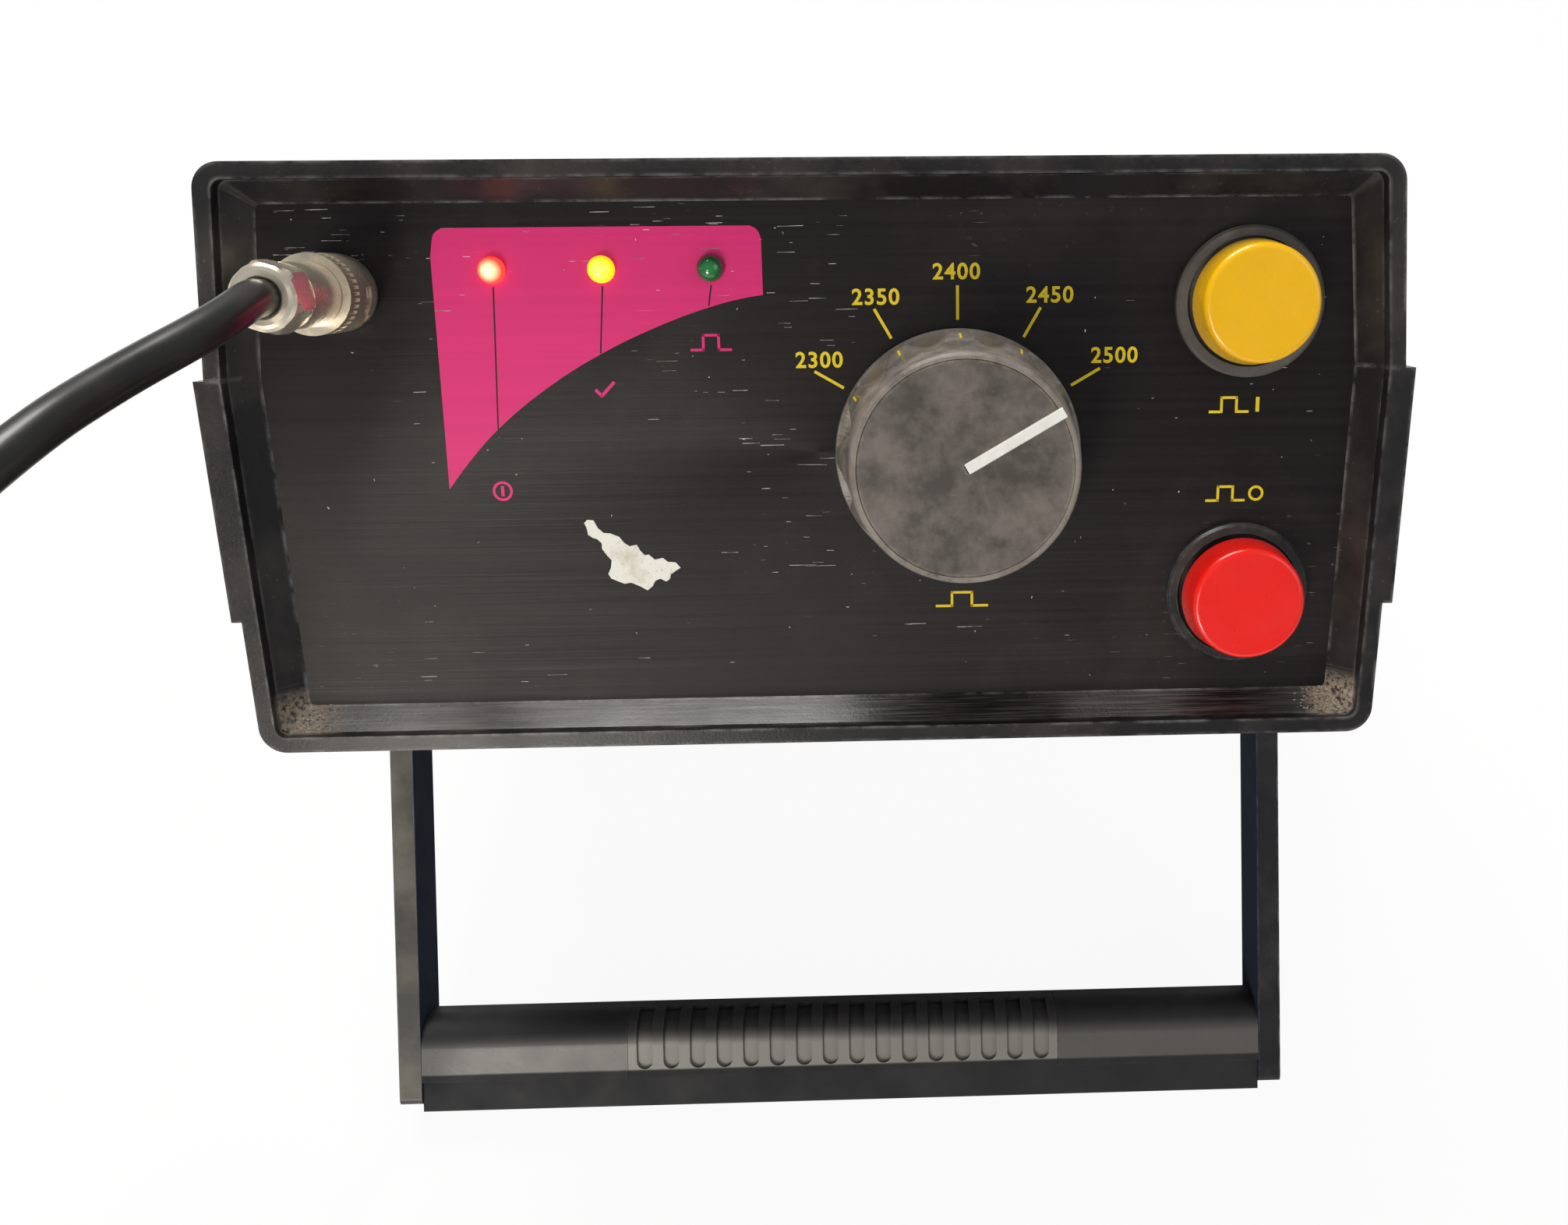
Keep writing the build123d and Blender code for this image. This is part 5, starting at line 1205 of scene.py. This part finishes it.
class ELECTROPORATOR_OT_coupling(bpy.types.Operator):
    """Finishes the plated output socket and plug, and turns the plug's nut"""

    bl_idname = "electroporator.coupling"
    bl_label = "Coupling Finish"

    def execute(self, context):
        wanted = settings(context, "finish")
        soils = {
            "hv_plug_ring": 0.45,
            "hv_plug_body": 0.12,
            "hv_plug_nut": 0.10,
            "hv_socket": 0.4,
            "hv_socket_nut": 0.3,
            "cable_end_contacts": 0.2,
        }
        for name, soil in soils.items():
            finish = Finish(name + "_plating", wanted.nickel, 0.24, 0.82)
            dull = finish.ramp(finish.cloud(150.0, 4.0), 0.42, 0.72)
            dusty = finish.mask("dust", Patches=380.0, Specks=2200.0, Amount=soil)
            colour = finish.blend(finish.times(dull, 0.3), wanted.nickel, scaled(wanted.nickel, 0.70))
            finish.set(Base_Color=finish.blend(dusty, colour, (0.20, 0.16, 0.12)))
            finish.set(Roughness=finish.ramp(dull, 0.0, 1.0, 0.20, 0.36))
            finish.bump(finish.cloud(1500.0, 2.0), 0.06, 0.00005)
            finish.give(name)

        half_across, bore, inner, outer = 0.0054, 0.00312, NUT_INNER, NUT_OUTER

        def six_sided(turn, radius, height):
            flat = (turn + radians(18)) % radians(60) - radians(30)
            return min(radius, half_across / cos(flat))

        shape = bmesh.new()
        add_turned(
            shape,
            (
                (bore, outer - 0.0040), (bore, outer - 0.0003), (0.0035, outer), (0.0044, outer),
                (0.0050, outer - 0.0003), (0.0055, outer - 0.0009), (0.0060, outer - 0.0020),
                (0.0064, outer - 0.0033), (0.0064, inner + 0.0012), (0.0059, inner + 0.0004), (0.0054, inner),
                (bore, inner), (bore, outer - 0.0040),
            ),
            reshape=six_sided,
        )
        socket_place = panel_place @ Matrix.Translation((SOCKET.x, SOCKET.y, 0))
        plating = bpy.data.materials["hv_plug_nut_plating"]
        nut = keep_shape("coupling_nut", shape, socket_place, "case", plating)
        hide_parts("hv_plug_nut")

        finish = Finish("white_insulator", (0.80, 0.80, 0.77), 0.45)
        finish.bump(finish.cloud(700.0), 0.1)
        finish.give("hv_socket_insulator")
        return {"FINISHED"}


class ELECTROPORATOR_OT_inside(bpy.types.Operator):
    """Finishes the pieces inside the case"""

    bl_idname = "electroporator.inside"
    bl_label = "Inner Pieces"

    def execute(self, context):
        # Each finish's colour, roughness, metal, pieces and size of its noise.
        looks = {
            "circuit_board": ((0.02, 0.13, 0.05), 0.35, 0.0, ("main_board", "display_board"), 300.0),
            "ferrite": ((0.045, 0.045, 0.050), 0.60, 0.2, ("hv_transformer_core",), 700.0),
            "winding_tape": ((0.62, 0.40, 0.06), 0.35, 0.0, ("hv_transformer_coil",), 160.0),
            "capacitor_sleeve": ((0.012, 0.035, 0.16), 0.28, 0.0, ("storage_capacitor",), 120.0),
            "relay_cover": ((0.03, 0.12, 0.30), 0.40, 0.0, ("pulse_relay",), 200.0),
            "ceramic": ((0.62, 0.59, 0.52), 0.65, 0.0, ("discharge_resistors",), 600.0),
            "bare_aluminium": ((0.62, 0.62, 0.63), 0.38, 1.0, ("heatsink",), 500.0),
            "brass": ((0.62, 0.42, 0.14), 0.30, 1.0, ("selector_shaft", "mains_inlet_blades"), 500.0),
        }
        for title, (colour, rough, metal, names, scale) in looks.items():
            finish = Finish(title, colour, rough, metal)
            cloudy = finish.ramp(finish.cloud(scale), 0.35, 0.65)
            finish.set(Base_Color=finish.blend(cloudy, scaled(colour, 0.8), colour))
            finish.set(Roughness=finish.ramp(cloudy, 0.0, 1.0, rough + 0.06, max(0.05, rough - 0.06)))
            finish.bump(finish.cloud(scale * 3), 0.15)
            finish.give(*names)
        return {"FINISHED"}


class ELECTROPORATOR_OT_stage(bpy.types.Operator):
    """Sets the pale bench and the soft lamps"""

    bl_idname = "electroporator.stage"
    bl_label = "Bench and Light"

    def execute(self, context):
        wanted = settings(context, "stage")
        shape = bmesh.new()
        bmesh.ops.create_grid(shape, x_segments=1, y_segments=1, size=wanted.size / 2)
        mesh = bpy.data.meshes.new("bench")
        shape.to_mesh(mesh)
        shape.free()
        bench = bpy.data.objects.new("bench", mesh)
        context.scene.collection.objects.link(bench)
        # The camera sees the bench almost white, with a little of the shadow that falls on it.
        whiteness = 0.93
        bench_top = bpy.data.materials.new("bench_top")
        nodes = open_nodes(bench_top)
        output = nodes.put("ShaderNodeOutputMaterial")
        matt = nodes.put("ShaderNodeBsdfPrincipled", {"Base Color": (*wanted.floor, 1), "Roughness": 0.9})
        glow = nodes.put("ShaderNodeEmission", {"Color": (1, 1, 1, 1), "Strength": 1.0})
        straight = nodes.put("ShaderNodeLightPath").outputs["Is Camera Ray"]
        share = nodes.times(straight, whiteness)
        mix = nodes.put("ShaderNodeMixShader", {0: share, 1: matt.outputs[0], 2: glow.outputs[0]})
        nodes.feed(output.inputs[0], mix.outputs[0])
        mesh.materials.append(bench_top)

        world = bpy.data.worlds.new("room")
        context.scene.world = world
        nodes = open_nodes(world)
        output = nodes.put("ShaderNodeOutputWorld")
        even = nodes.put("ShaderNodeBackground", {"Color": (0.95, 0.97, 1.0, 1), "Strength": wanted.world_level})
        white = nodes.put("ShaderNodeBackground", {"Color": (1, 1, 1, 1), "Strength": 1.0})
        straight = nodes.put("ShaderNodeLightPath").outputs["Is Camera Ray"]
        mix = nodes.put("ShaderNodeMixShader", {0: straight, 1: even.outputs[0], 2: white.outputs[0]})
        nodes.feed(output.inputs[0], mix.outputs[0])

        # Each lamp's power, place, aim, edge and colour.
        middle, low_front = (0.0, -0.05, 0.12), (-0.05, -0.10, 0.06)
        lamps = (
            ("key_lamp", wanted.key_power, (-0.22, 0.58, 1.13), middle, 0.60, (1.0, 0.98, 0.95)),
            ("front_lamp", wanted.front_power, (-0.35, -1.00, 0.30), (-0.03, -0.10, 0.06), 0.24, (1.0, 0.95, 0.88)),
            ("side_lamp", wanted.side_power, (-0.31, -0.95, 0.64), low_front, 0.16, (1.0, 0.95, 0.86)),
            ("fill_lamp", wanted.fill_power, (0.95, -0.50, 0.90), middle, 0.80, (0.93, 0.96, 1.0)),
        )
        for name, power, place, aim, edge, colour in lamps:
            light = bpy.data.lights.new(name, "AREA")
            light.energy = power
            light.shape = "RECTANGLE"
            light.size = light.size_y = edge
            light.color = colour
            lamp = bpy.data.objects.new(name, light)
            lamp.location = place
            lamp.rotation_euler = (Vector(aim) - Vector(place)).to_track_quat("-Z", "Y").to_euler()
            context.scene.collection.objects.link(lamp)
        context.scene.view_settings.view_transform = "Standard"
        return {"FINISHED"}


class ELECTROPORATOR_PT_sidebar(bpy.types.Panel):
    """Lists the electroporator's operators and settings"""

    bl_label = "Electroporator"
    bl_idname = "ELECTROPORATOR_PT_sidebar"
    bl_space_type = "VIEW_3D"
    bl_region_type = "UI"
    bl_category = "Electroporator"

    def draw(self, context):
        for operator in operators:
            self.layout.operator(operator.bl_idname)
        for name, group in groups.items():
            box = self.layout.box()
            box.label(text=name.title())
            held = settings(context, name)
            for title in group.__annotations__:
                box.prop(held, title)


groups = {
    "camera": CameraSettings,
    "cable": CableSettings,
    "print": PrintSettings,
    "finish": FinishSettings,
    "controls": ControlSettings,
    "stage": StageSettings,
}
operators = (
    ELECTROPORATOR_OT_effects,
    ELECTROPORATOR_OT_camera,
    ELECTROPORATOR_OT_coupling,
    ELECTROPORATOR_OT_cable,
    ELECTROPORATOR_OT_case,
    ELECTROPORATOR_OT_panels,
    ELECTROPORATOR_OT_print,
    ELECTROPORATOR_OT_symbols,
    ELECTROPORATOR_OT_paper,
    ELECTROPORATOR_OT_nicks,
    ELECTROPORATOR_OT_grit,
    ELECTROPORATOR_OT_lamps,
    ELECTROPORATOR_OT_controls,
    ELECTROPORATOR_OT_handle,
    ELECTROPORATOR_OT_inside,
    ELECTROPORATOR_OT_stage,
)


def register():
    for name, group in groups.items():
        bpy.utils.register_class(group)
        setattr(bpy.types.Scene, "electroporator_" + name, PointerProperty(type=group))
    for operator in operators:
        bpy.utils.register_class(operator)
    bpy.utils.register_class(ELECTROPORATOR_PT_sidebar)


def unregister():
    bpy.utils.unregister_class(ELECTROPORATOR_PT_sidebar)
    for operator in reversed(operators):
        bpy.utils.unregister_class(operator)
    for name, group in groups.items():
        delattr(bpy.types.Scene, "electroporator_" + name)
        bpy.utils.unregister_class(group)


def main():
    register()
    for operator in operators:
        family, action = operator.bl_idname.split(".")
        getattr(getattr(bpy.ops, family), action)()


if __name__ == "__main__":
    main()
